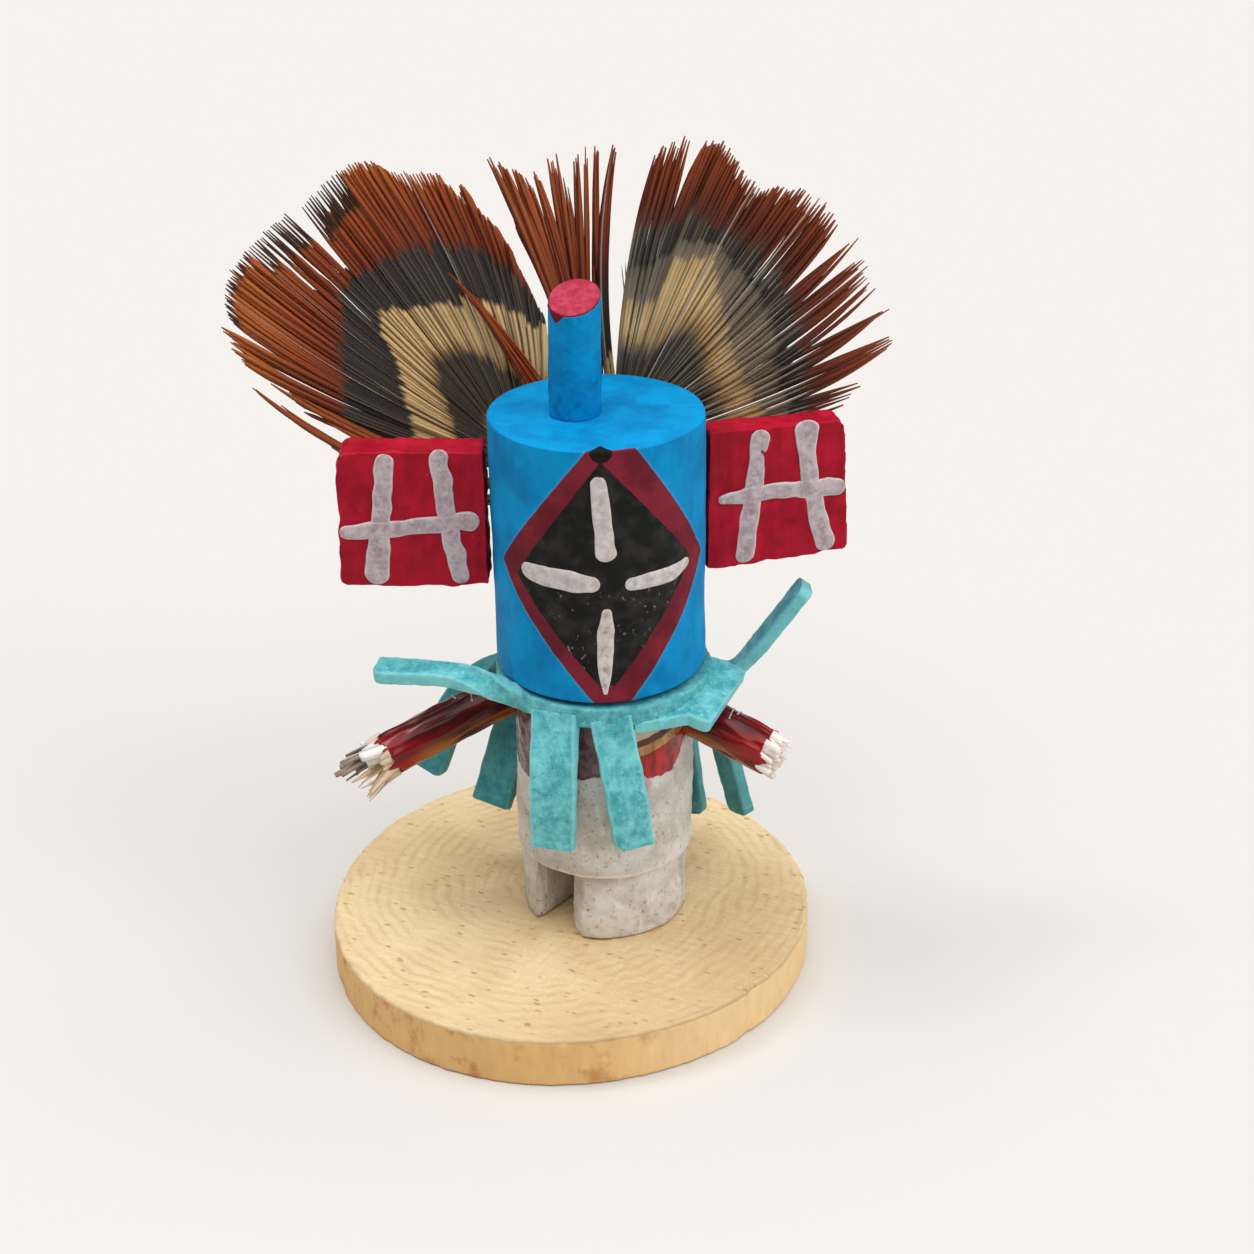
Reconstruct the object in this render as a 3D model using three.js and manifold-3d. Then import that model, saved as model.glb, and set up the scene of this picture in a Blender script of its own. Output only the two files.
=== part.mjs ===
// Small carved kachina doll standing on a round slice of branch wood.
// Millimetres, +Z up. The doll faces -Y, +X is its viewer's right hand.
// The origin is the centre of the slice's underside.

import * as THREE from 'three';
import { mergeVertices } from 'three/addons/utils/BufferGeometryUtils.js';
import Module from 'manifold-3d';

const wasm = await Module();
wasm.setup();

// ---------------------------------------------------------------- driving dimensions

const GAP = 0.3; // clearance between two pieces that touch

const SLICE_RADIUS = 23.0; // the wood slice underfoot
const SLICE_THICKNESS = 5.0;
const SLICE_SEGMENTS = 96;

const BODY_X = 3.35; // axis of the turned body
const BODY_Y = 0.36;
const BODY_RADIUS = 8.3;
const BODY_TOP = 30.6;
const HEM_Z = 11.9; // lower edge of the kilt
const LEG_RADIUS = 7.8;
const LEG_FORWARD = 0.4; // the legs stand a little forward of the body's axis
const LEG_SLOT_WIDTH = 3.4;
const LEG_SLOT_X = -0.37; // the slot's middle, from the body's axis
const LEG_SLOT_Y = -0.11;
const LEG_CHIP = [[0.44, -5.56], [-1.6, -8.09], [1.4, -8.09]]; // plan of the corner cut off the right leg
const LEG_SLOT_TURN = 38; // degrees, the slot runs from front left to back right

const HEAD_RADIUS = 9.5; // a three-quarter inch dowel
const HEAD_X = 3.13;
const HEAD_Y = 0.36;
const HEAD_BOTTOM = 31.07;
const HEAD_HEIGHT = 23.76;
const HEAD_LEAN = 0.81; // degrees, towards -X
const HEAD_EDGE = 0.25; // softened rim

const HORN_RADIUS = 2.27;
const HORN_X = 1.0;
const HORN_Y = 0.13;
const HORN_HEIGHT = 10.0; // to the middle of its slanted top
const HORN_SLANT_BACK = 22; // degrees, the cut rises towards the back
const HORN_SLANT_SIDE = 7; // degrees, and a little towards +X

const WING_CORNER = 0.9; // rounded outer corners of the two side tablets

const ARM_RADIUS = 2.1;
const SPLINTER_LENGTH = 4.6; // frayed wood beyond the lacquered end

const LEATHER = 1.25; // thickness of the fringed collar
const BAND_INNER = BODY_RADIUS + GAP;
const BAND_OUTER = BAND_INNER + LEATHER;
const BAND_BOTTOM = 28.75;
const BAND_TOP = 30.6;

const VANE = 0.8; // thickness of a feather's vane as a solid
const QUILL_RADIUS = 0.45;

// ---------------------------------------------------------------- helpers

const radians = THREE.MathUtils.degToRad;

function material(color, roughness) {
  return new THREE.MeshStandardMaterial({ color, roughness, metalness: 0 });
}

// A closed geometry becomes a solid that can be joined and cut.
function solid(geometry) {
  const bare = geometry.clone();
  bare.deleteAttribute('normal');
  bare.deleteAttribute('uv');
  const merged = mergeVertices(bare, 1e-4);
  const vertProperties = Float32Array.from(merged.attributes.position.array);
  const triVerts = Uint32Array.from(merged.index.array);
  return new wasm.Manifold(new wasm.Mesh({ numProp: 3, vertProperties, triVerts }));
}

function surface(manifold) {
  const mesh = manifold.getMesh();
  const geometry = new THREE.BufferGeometry();
  geometry.setAttribute('position', new THREE.BufferAttribute(mesh.vertProperties, 3));
  geometry.setIndex(new THREE.BufferAttribute(mesh.triVerts, 1));
  geometry.computeVertexNormals();
  return geometry;
}

// An upright cylinder from one height to another.
function post(x, y, bottom, top, radius, segments) {
  const geometry = new THREE.CylinderGeometry(radius, radius, top - bottom, segments);
  geometry.rotateX(Math.PI / 2);
  geometry.translate(x, y, (top + bottom) / 2);
  return geometry;
}

// A piece named for its node, with its own material.
function piece(name, geometry, color, roughness) {
  const mesh = new THREE.Mesh(geometry, material(color, roughness));
  mesh.name = name;
  return mesh;
}

// A closed body lofted through equal rings of points, with flat ends.
function loft(rings) {
  const sides = rings[0].length;
  const positions = rings.flat().flatMap((p) => [p.x, p.y, p.z]);
  const index = [];
  for (let i = 0; i < rings.length - 1; i += 1) {
    for (let j = 0; j < sides; j += 1) {
      const next = (j + 1) % sides;
      const a = i * sides + j;
      const b = i * sides + next;
      index.push(a, b, b + sides, a, b + sides, a + sides);
    }
  }
  const last = (rings.length - 1) * sides;
  for (let j = 1; j < sides - 1; j += 1) {
    index.push(0, j + 1, j);
    index.push(last, last + j, last + j + 1);
  }
  const geometry = new THREE.BufferGeometry();
  geometry.setAttribute('position', new THREE.Float32BufferAttribute(positions, 3));
  geometry.setIndex(index);
  return geometry;
}

// ---------------------------------------------------------------- wood slice

// The branch was not quite round: two low waves around the rim.
function sliceRadius(angle) {
  return SLICE_RADIUS + 0.25 * Math.cos(2 * angle - 1.9) + 0.2 * Math.cos(3 * angle + 0.6);
}

function woodSlice() {
  const outline = [];
  for (let i = 0; i < SLICE_SEGMENTS; i += 1) {
    const angle = (2 * Math.PI * i) / SLICE_SEGMENTS;
    const radius = sliceRadius(angle);
    outline.push(new THREE.Vector2(radius * Math.cos(angle), radius * Math.sin(angle)));
  }
  const shape = new THREE.Shape(outline);
  return new THREE.ExtrudeGeometry(shape, { depth: SLICE_THICKNESS, bevelEnabled: false });
}

// ---------------------------------------------------------------- body

function body() {
  const foot = SLICE_THICKNESS + GAP;
  const kilt = solid(post(BODY_X, BODY_Y, HEM_Z, BODY_TOP, BODY_RADIUS, 64));
  const legs = solid(post(BODY_X, BODY_Y - LEG_FORWARD, foot, HEM_Z + 1, LEG_RADIUS, 64));
  const slotLength = 4 * LEG_RADIUS;
  const cut = new THREE.BoxGeometry(LEG_SLOT_WIDTH, slotLength, 2 * (HEM_Z - foot));
  cut.rotateZ(-radians(LEG_SLOT_TURN));
  cut.translate(BODY_X + LEG_SLOT_X, BODY_Y + LEG_SLOT_Y, foot);
  const corner = new THREE.Shape(LEG_CHIP.map(([x, y]) => new THREE.Vector2(x, y)));
  const chip = new THREE.ExtrudeGeometry(corner, { depth: HEM_Z - foot + 1, bevelEnabled: false });
  chip.translate(0, 0, foot - 1);
  return surface(kilt.add(legs).subtract(solid(cut)).subtract(solid(chip)));
}

// ---------------------------------------------------------------- head and horn

function head() {
  const profile = [
    new THREE.Vector2(0, 0),
    new THREE.Vector2(HEAD_RADIUS - HEAD_EDGE, 0),
    new THREE.Vector2(HEAD_RADIUS, HEAD_EDGE),
    new THREE.Vector2(HEAD_RADIUS, HEAD_HEIGHT - HEAD_EDGE),
    new THREE.Vector2(HEAD_RADIUS - HEAD_EDGE, HEAD_HEIGHT),
    new THREE.Vector2(0, HEAD_HEIGHT),
  ];
  const geometry = new THREE.LatheGeometry(profile, 80);
  geometry.rotateX(Math.PI / 2);
  return geometry;
}

function horn(bottom) {
  const tall = solid(post(0, 0, bottom, bottom + 2 * HORN_HEIGHT, HORN_RADIUS, 40));
  const cutter = new THREE.BoxGeometry(20, 20, 20);
  cutter.translate(0, 0, 10);
  cutter.rotateX(radians(HORN_SLANT_BACK));
  cutter.rotateY(-radians(HORN_SLANT_SIDE));
  cutter.translate(0, 0, bottom + HORN_HEIGHT);
  return surface(tall.subtract(solid(cutter)));
}

// ---------------------------------------------------------------- side tablets

// A flat tablet drawn by its four front corners in its own plane:
// inner top, inner bottom, outer bottom, outer top. The outer corners are rounded.
function tablet(innerTop, innerBottom, outerBottom, outerTop, thickness) {
  const corners = [innerTop, innerBottom, outerBottom, outerTop];
  const shape = new THREE.Shape();
  shape.moveTo(innerTop.x, innerTop.y);
  shape.lineTo(innerBottom.x, innerBottom.y);
  for (const i of [2, 3]) {
    const corner = corners[i];
    const before = corners[i - 1].clone().sub(corner).setLength(WING_CORNER).add(corner);
    const after = corners[(i + 1) % 4].clone().sub(corner).setLength(WING_CORNER).add(corner);
    shape.lineTo(before.x, before.y);
    shape.quadraticCurveTo(corner.x, corner.y, after.x, after.y);
  }
  shape.closePath();
  const options = { depth: thickness, bevelEnabled: false, curveSegments: 5 };
  const geometry = new THREE.ExtrudeGeometry(shape, options);
  geometry.rotateX(Math.PI / 2);
  geometry.translate(0, thickness, 0);
  return geometry;
}

// ---------------------------------------------------------------- arms

// A round twig: its inner end is hollowed to sit against the body, its outer end
// is broken and frays into uneven splinters.
function arm(end, direction, insideLength, splinter) {
  const sides = 20;
  const along = direction.clone().normalize();
  const across = new THREE.Vector3(0, 0, 1).cross(along).normalize();
  const up = along.clone().cross(across);
  const ring = (distance, radius, ragged) => {
    const points = [];
    for (let j = 0; j < sides; j += 1) {
      const angle = (2 * Math.PI * j) / sides;
      const reach = distance + ragged * (0.5 * Math.sin(3 * angle) + (j % 2));
      const point = end.clone().addScaledVector(along, reach);
      point.addScaledVector(across, radius * Math.cos(angle));
      point.addScaledVector(up, radius * Math.sin(angle));
      points.push(point);
    }
    return points;
  };
  const twig = solid(loft([
    ring(-insideLength, ARM_RADIUS, 0),
    ring(0, ARM_RADIUS, 0.25),
    ring(0.3, 0.86 * ARM_RADIUS, 0.2),
    ring(splinter, 0.8 * ARM_RADIUS, 0.35),
  ]));
  const core = solid(post(BODY_X, BODY_Y, 0, BODY_TOP + 10, BODY_RADIUS + GAP, 64));
  return surface(twig.subtract(core));
}

// ---------------------------------------------------------------- leather collar

// One cut strip of leather. It leaves the band at an azimuth measured from the front
// towards +X, or starts at a point of its own, passes a middle point and ends at a tip.
// Its flat side faces outwards at the band and turns to face the given way by the
// stated share of its length.
function strip({ azimuth, start, middle, tip, width, tipWidth = width, face, turnedBy = 0.6 }) {
  const angle = radians(azimuth);
  const outwards = new THREE.Vector3(Math.sin(angle), -Math.cos(angle), 0);
  const radius = (BAND_INNER + BAND_OUTER) / 2;
  const onBand = new THREE.Vector3(BODY_X, BODY_Y, BAND_BOTTOM + 0.9).addScaledVector(outwards, radius);
  const root = start ? new THREE.Vector3(...start) : onBand;
  const path = new THREE.CatmullRomCurve3([root, new THREE.Vector3(...middle), new THREE.Vector3(...tip)]);
  const steps = 9;
  const rings = [];
  for (let i = 0; i <= steps; i += 1) {
    const t = i / steps;
    const centre = path.getPointAt(t);
    const along = path.getTangentAt(t);
    const turn = THREE.MathUtils.smoothstep(t + 1e-3, 0, turnedBy);
    const side = outwards.clone().lerp(new THREE.Vector3(...face), turn);
    const wide = along.clone().cross(side).normalize();
    const normal = wide.clone().cross(along).normalize();
    const half = THREE.MathUtils.lerp(width, tipWidth, t) / 2;
    const corner = (w, n) =>
      centre.clone().addScaledVector(wide, w * half).addScaledVector(normal, (n * LEATHER) / 2);
    rings.push([corner(-1, -1), corner(-1, 1), corner(1, 1), corner(1, -1)]);
  }
  return solid(loft(rings));
}

const STRIPS = [
  {
    azimuth: -50,
    middle: [-9.6, -5.0, 31.6],
    tip: [-17.2, -3.2, 31.3],
    width: 2.0,
    tipWidth: 2.9,
    face: [0, -0.1, 1],
  },
  {
    azimuth: -27,
    middle: [-1.1, -9.7, 23.5],
    tip: [-1.2, -9.5, 16.5],
    width: 4.4,
    tipWidth: 4.0,
    face: [-0.2, -1, 0],
  },
  { azimuth: 4, middle: [5.0, -9.8, 23.0], tip: [6.1, -9.5, 16.6], width: 3.7, face: [0.2, -1, 0] },
  {
    azimuth: 60,
    start: [5.2, -3.9, 29.3],
    middle: [11.2, -2.9, 29.3],
    tip: [14.5, -4.2, 28.5],
    width: 10.4,
    tipWidth: 9.4,
    face: [0.15, -0.14, 1],
    turnedBy: 0.001,
  },
  {
    azimuth: 100,
    start: [12.2, 1.0, 28.3],
    middle: [15.9, 3.2, 28.3],
    tip: [22.0, 3.3, 36.7],
    width: 2.4,
    tipWidth: 3.0,
    face: [-0.75, 0, 0.66],
  },
  { azimuth: -146, middle: [-5.3, 6.2, 20.7], tip: [-7.7, 3.6, 13.0], width: 3.8, face: [-0.4, -1, 0.1] },
  {
    azimuth: -115,
    start: [-5.2, 4.9, 28.8],
    middle: [-10.3, 6.4, 23.6],
    tip: [-13.9, 5.4, 15.8],
    width: 2.6,
    tipWidth: 3.4,
    face: [-0.4, -1, 0.2],
  },
  { azimuth: -166, middle: [-1.6, 10.2, 20.5], tip: [-3.8, 8.6, 10.4], width: 3.3, face: [-0.2, 1, 0.1] },
  { azimuth: 146, middle: [10.4, 9.3, 19.5], tip: [11.8, 7.6, 9.6], width: 3.3, face: [0.5, 1, 0.1] },
  { azimuth: 118, middle: [14.0, 5.6, 21.5], tip: [16.7, 4.4, 11.6], width: 3.0, face: [0.9, 0.6, 0.1] },
  { azimuth: 171, middle: [5.2, 11.4, 20.5], tip: [5.0, 11.8, 12.6], width: 3.4, face: [0, 1, 0.1] },
];

function leatherCollar() {
  const outer = solid(post(BODY_X, BODY_Y, BAND_BOTTOM, BAND_TOP, BAND_OUTER, 64));
  const inner = solid(post(BODY_X, BODY_Y, BAND_BOTTOM - 1, BAND_TOP + 1, BAND_INNER, 64));
  const core = solid(post(BODY_X, BODY_Y, 0, BAND_TOP + 1, BAND_INNER, 64));
  const strips = STRIPS.map(strip);
  const joined = strips.reduce((whole, each) => whole.add(each), outer.subtract(inner));
  return surface(joined.subtract(core));
}

// ---------------------------------------------------------------- feathers

// A feather stands upright in the plane y = depth. Its outline is a closed smooth curve
// through [x, z] points, and its quill runs down to a foot behind the head.
function feather({ depth, outline, quillTop, quillFoot }) {
  const points = outline.map(([x, z]) => new THREE.Vector2(x, z));
  const curve = new THREE.SplineCurve([...points, points[0]]);
  const shape = new THREE.Shape(curve.getPoints(outline.length * 4).slice(0, -1));
  const vane = new THREE.ExtrudeGeometry(shape, { depth: VANE, bevelEnabled: false });
  vane.rotateX(Math.PI / 2);
  vane.translate(0, depth + VANE / 2, 0);

  const foot = new THREE.Vector3(quillFoot[0], depth, quillFoot[1]);
  const top = new THREE.Vector3(quillTop[0], depth, quillTop[1]);
  const shaft = top.clone().sub(foot);
  const quill = new THREE.CylinderGeometry(QUILL_RADIUS, QUILL_RADIUS, shaft.length(), 12);
  const upright = new THREE.Vector3(0, 1, 0);
  quill.applyQuaternion(new THREE.Quaternion().setFromUnitVectors(upright, shaft.clone().normalize()));
  const middle = foot.clone().add(top).multiplyScalar(0.5);
  quill.translate(middle.x, middle.y, middle.z);
  return surface(solid(vane).add(solid(quill)));
}

const FEATHERS = {
  feather_left: {
    depth: 10.8,
    outline: [
      [-6.0, 46.5], [-16.0, 46.8], [-22.6, 46.0], [-27.8, 52.6], [-30.8, 57.6], [-30.4, 61.8],
      [-28.4, 65.6], [-23.6, 70.0], [-19.8, 72.9], [-16.6, 73.7], [-10.6, 72.6], [-6.2, 69.0],
      [-3.6, 64.0], [-2.2, 58.0], [-2.2, 51.0],
    ],
    quillTop: [-14.0, 57.5],
    quillFoot: [-0.6, 41.5],
  },
  feather_middle: {
    depth: 12.1,
    outline: [
      [0.0, 49.0], [-2.0, 56.0], [-3.4, 64.0], [-5.4, 71.0], [-6.4, 73.3], [-2.6, 73.6],
      [1.0, 74.2], [4.0, 74.4], [3.9, 68.0], [4.1, 61.0], [4.9, 54.0], [3.4, 49.0],
    ],
    quillTop: [1.2, 62.0],
    quillFoot: [2.4, 41.0],
  },
  feather_right: {
    depth: 10.8,
    outline: [
      [5.2, 48.0], [5.8, 54.0], [5.8, 61.0], [6.8, 69.5], [9.0, 75.2], [12.4, 75.8], [15.2, 73.6],
      [18.4, 71.4], [22.0, 70.9], [24.6, 67.6], [27.0, 63.6], [29.0, 59.4], [28.4, 55.6],
      [25.0, 51.0], [18.0, 48.0], [10.0, 46.4],
    ],
    quillTop: [12.6, 61.5],
    quillFoot: [5.2, 41.5],
  },
};

// ---------------------------------------------------------------- assembly

const group = new THREE.Group();

group.add(piece('base_slice', woodSlice(), 0xdcb887, 0.85));
group.add(piece('body', body(), 0xb8aea4, 0.8));

const headGroup = new THREE.Group();
headGroup.position.set(HEAD_X, HEAD_Y, HEAD_BOTTOM);
headGroup.rotation.y = -radians(HEAD_LEAN);
headGroup.add(piece('head', head(), 0x0078c8, 0.55));
group.add(headGroup);

const hornMesh = piece('horn', horn(0), 0x0078c8, 0.55);
hornMesh.position.set(HORN_X, HORN_Y, HEAD_BOTTOM + HEAD_HEIGHT + GAP);
group.add(hornMesh);

const corner = (x, z) => new THREE.Vector2(x, z);

const leftTablet = tablet(corner(-7.0, 51.65), corner(-6.85, 38.8), corner(-20.1, 38.7), corner(-19.85, 51.5), 3.8);
const wingLeft = piece('wing_left', leftTablet, 0xa8182c, 0.6);
wingLeft.position.y = -1.3;
group.add(wingLeft);

const RIGHT_WING_TURN = 14; // degrees, the outer end stands back
const rightTablet = tablet(corner(0, 52.5), corner(0, 39.2), corner(13.5, 39.9), corner(12.5, 52.55), 3.1);
const wingRight = piece('wing_right', rightTablet, 0xa8182c, 0.6);
wingRight.position.set(12.75, 1.0, 0);
wingRight.rotation.z = radians(RIGHT_WING_TURN);
group.add(wingRight);

const leftEnd = new THREE.Vector3(-17.0, -1.5, 21.3);
const leftAim = new THREE.Vector3(-0.88, -0.306, -0.362);
group.add(piece('arm_left', arm(leftEnd, leftAim, 14, SPLINTER_LENGTH), 0x6a1014, 0.25));

const rightEnd = new THREE.Vector3(18.6, -5.9, 24.1);
const rightAim = new THREE.Vector3(0.842, -0.486, -0.235);
group.add(piece('arm_right', arm(rightEnd, rightAim, 11, 0.4 * SPLINTER_LENGTH), 0x6a1014, 0.25));

group.add(piece('leather_collar', leatherCollar(), 0x40a4b0, 0.7));

for (const [name, dimensions] of Object.entries(FEATHERS)) {
  group.add(piece(name, feather(dimensions), 0x7c4a2c, 0.8));
}

export default group;
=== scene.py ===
"""A small carved kachina doll on a slice of branch wood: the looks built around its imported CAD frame.

Lengths inside the builders are millimetres in the CAD's own frame and become metres in add_piece.
"""

import math

import bpy
import numpy as np
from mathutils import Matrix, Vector


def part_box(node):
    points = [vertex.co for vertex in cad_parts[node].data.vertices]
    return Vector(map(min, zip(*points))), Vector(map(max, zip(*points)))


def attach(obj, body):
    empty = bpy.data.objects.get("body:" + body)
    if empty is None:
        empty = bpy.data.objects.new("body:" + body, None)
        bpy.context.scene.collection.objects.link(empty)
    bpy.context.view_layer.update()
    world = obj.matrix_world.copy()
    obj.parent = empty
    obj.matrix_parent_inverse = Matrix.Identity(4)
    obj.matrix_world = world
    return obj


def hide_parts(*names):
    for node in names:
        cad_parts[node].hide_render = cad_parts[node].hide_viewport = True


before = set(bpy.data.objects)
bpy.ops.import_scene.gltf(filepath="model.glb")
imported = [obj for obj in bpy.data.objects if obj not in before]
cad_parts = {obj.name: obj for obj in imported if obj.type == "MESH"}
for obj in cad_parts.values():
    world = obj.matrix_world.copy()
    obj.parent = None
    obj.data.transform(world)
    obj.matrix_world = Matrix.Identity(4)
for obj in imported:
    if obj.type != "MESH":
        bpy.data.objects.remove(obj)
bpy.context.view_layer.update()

MM = 0.001
BODY = "root"


# ---------------------------------------------------------------- places taken from the frame

def node_box(node):
    """The node's lowest and highest corner, in millimetres."""
    low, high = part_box(node)
    return np.array(low) / MM, np.array(high) / MM


def centre_of(node):
    low, high = node_box(node)
    return (low + high) / 2


BASE_LOW, BASE_HIGH = node_box("base_slice")
BASE_TOP = BASE_HIGH[2]
BASE_RADIUS = (BASE_HIGH[0] - BASE_LOW[0] + BASE_HIGH[1] - BASE_LOW[1]) / 4

BODY_LOW, BODY_HIGH = node_box("body")
BODY_X = centre_of("body")[0]
BODY_Y = centre_of("body")[1]
BODY_RADIUS = (BODY_HIGH[0] - BODY_LOW[0]) / 2
BODY_TOP = BODY_HIGH[2]

HEAD_LEAN = math.radians(0.81)
HEAD_LOW, HEAD_HIGH = node_box("head")
HEAD_RADIUS = (HEAD_HIGH[1] - HEAD_LOW[1]) / 2
HEAD_Y = centre_of("head")[1]
HEAD_HEIGHT = (HEAD_HIGH[2] - HEAD_LOW[2] - 2 * HEAD_RADIUS * math.sin(HEAD_LEAN)) / math.cos(HEAD_LEAN)
HEAD_BOTTOM = HEAD_LOW[2] + HEAD_RADIUS * math.sin(HEAD_LEAN)
HEAD_X = centre_of("head")[0] + HEAD_HEIGHT * math.sin(HEAD_LEAN) / 2

HORN_LOW, HORN_HIGH = node_box("horn")
HORN_X, HORN_Y = centre_of("horn")[:2]
HORN_RADIUS = (HORN_HIGH[0] - HORN_LOW[0]) / 2


# ---------------------------------------------------------------- small helpers

def waves(points, size, seed, count=14):
    """Smooth, repeatable unevenness of about unit height, with features of about the given size."""
    rng = np.random.default_rng(seed)
    points = np.asarray(points, float)
    directions = rng.normal(size=(count, points.shape[-1]))
    directions /= np.linalg.norm(directions, axis=1)[:, None]
    frequencies = 2 * math.pi / size * rng.uniform(0.6, 1.7, count)
    phases = rng.uniform(0, 2 * math.pi, count)
    total = np.zeros(points.shape[:-1])
    for direction, frequency, phase in zip(directions, frequencies, phases):
        total += np.sin(points @ direction * frequency + phase)
    return total / math.sqrt(count / 2)


def smoothstep(value, low, high):
    t = np.clip((value - low) / (high - low), 0, 1)
    return t * t * (3 - 2 * t)


def unit(vector):
    vector = np.asarray(vector, float)
    return vector / np.linalg.norm(vector, axis=-1, keepdims=True)


def curve_through(points, count):
    """A smooth curve (Catmull-Rom) through a few points, as evenly parametered samples."""
    points = np.asarray(points, float)
    padded = np.vstack([2 * points[0] - points[1], points, 2 * points[-1] - points[-2]])
    spans = len(points) - 1
    samples = []
    for t in np.linspace(0, spans, count):
        i = min(int(t), spans - 1)
        u = t - i
        a, b, c, d = padded[i:i + 4]
        squared = (2 * a - 5 * b + 4 * c - d) * u**2
        cubed = (3 * b - a - 3 * c + d) * u**3
        samples.append(0.5 * (2 * b + (c - a) * u + squared + cubed))
    return np.array(samples)


def distances_along(path):
    """How far along a path each of its points lies."""
    return np.concatenate([[0], np.cumsum(np.linalg.norm(np.diff(path, axis=0), axis=1))])


def places_along(path, distances):
    """The points of a path that lie at the given distances along it."""
    travelled = distances_along(path)
    return np.stack([np.interp(distances, travelled, column) for column in path.T], -1)


def rounded(distance, radius):
    """The height of a quarter-round edge as a share: 0 at its foot, 1 from the radius onwards."""
    share = np.clip(distance / radius, 0, 1)
    return np.sqrt(1 - (1 - share) ** 2)


def full_turn(count):
    """Evenly spaced angles of a full turn."""
    return np.linspace(0, 2 * math.pi, count, endpoint=False)


def on_circle(angle):
    return np.stack([np.cos(angle), np.sin(angle)], -1)


def grid_faces(rows, columns, wrap=False):
    """Quads of a grid of points stored row by row. wrap joins the last column to the first."""
    last = columns if wrap else columns - 1
    i, j = np.meshgrid(np.arange(rows - 1), np.arange(last), indexing="ij")
    k = (j + 1) % columns
    quads = np.stack([i * columns + j, i * columns + k, (i + 1) * columns + k, (i + 1) * columns + j], -1)
    return quads.reshape(-1, 4)


def fan_faces(ring_start, count, hub, reverse=False):
    """Triangles from a ring of points to its hub."""
    j = np.arange(count)
    k = (j + 1) % count
    triangles = np.stack([np.full(count, hub), ring_start + j, ring_start + k], -1)
    return triangles[:, ::-1] if reverse else triangles


class Shape:
    """Collects points, faces, material numbers and named values until they become one mesh."""

    def __init__(self):
        self.points = []
        self.faces = []
        self.kinds = []
        self.values = {}
        self.count = 0

    def add(self, points, faces, kind=0, **values):
        points = np.asarray(points, float).reshape(-1, 3)
        for block in faces:
            block = np.asarray(block) + self.count
            self.faces.extend(block.tolist())
            self.kinds.extend([kind] * len(block))
        for name, value in values.items():
            filler = np.zeros(self.count - sum(len(v) for v in self.values.get(name, [])))
            if np.ndim(value):
                value = np.asarray(value, float).ravel()
            self.values.setdefault(name, []).extend([filler, np.broadcast_to(value, len(points))])
        self.points.append(points)
        self.count += len(points)

    def tube(self, rings, kind=0, **values):
        """A closed body lofted through rings of points, its two ends shut by fans."""
        rings = np.asarray(rings, float)
        rows, columns = rings.shape[:2]
        points = np.vstack([rings.reshape(-1, 3), rings[0].mean(0), rings[-1].mean(0)])
        hub = rows * columns
        faces = [
            grid_faces(rows, columns, wrap=True),
            fan_faces(0, columns, hub, reverse=True),
            fan_faces((rows - 1) * columns, columns, hub + 1),
        ]
        spread = {}
        for name, value in values.items():
            value = np.broadcast_to(value, (rows, columns)).astype(float)
            spread[name] = np.concatenate([value.ravel(), [value[0].mean(), value[-1].mean()]])
        self.add(points, faces, kind, **spread)


def add_piece(name, shape, materials, nodes=()):
    """Makes the mesh, gives it its materials, and ties it to the frame."""
    points = np.vstack(shape.points) * MM
    mesh = bpy.data.meshes.new(name)
    mesh.from_pydata(points.tolist(), [], shape.faces)
    for material in materials:
        mesh.materials.append(material)
    mesh.polygons.foreach_set("material_index", np.array(shape.kinds, np.int32))
    mesh.polygons.foreach_set("use_smooth", np.full(len(mesh.polygons), True))
    for key, blocks in shape.values.items():
        blocks = np.concatenate(blocks)
        blocks = np.concatenate([blocks, np.zeros(shape.count - len(blocks))])
        attribute = mesh.attributes.new(key, "FLOAT", "POINT")
        attribute.data.foreach_set("value", blocks.astype(np.float32))
    mesh.update()
    piece = bpy.data.objects.new(name, mesh)
    bpy.context.scene.collection.objects.link(piece)
    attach(piece, BODY)
    if nodes:
        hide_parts(*nodes)
    return piece


# ---------------------------------------------------------------- material graphs

def srgb(red, green, blue):
    """A display colour from 0 to 255 as the linear values that a shader takes."""
    channels = np.array([red, green, blue]) / 255
    linear = np.where(channels <= 0.04045, channels / 12.92, ((channels + 0.055) / 1.055) ** 2.4)
    return (*[float(c) for c in linear], 1.0)


class Value:
    """One output of a material's node. Arithmetic on it adds math nodes."""

    __array_ufunc__ = None

    def __init__(self, graph, socket):
        self.graph = graph
        self.socket = socket

    def __add__(self, other):
        return self.graph.math("ADD", self, other)

    def __radd__(self, other):
        return self.graph.math("ADD", other, self)

    def __sub__(self, other):
        return self.graph.math("SUBTRACT", self, other)

    def __rsub__(self, other):
        return self.graph.math("SUBTRACT", other, self)

    def __mul__(self, other):
        return self.graph.math("MULTIPLY", self, other)

    def __truediv__(self, other):
        return self.graph.math("DIVIDE", self, other)

    def __abs__(self):
        return self.graph.math("ABSOLUTE", self)


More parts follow.
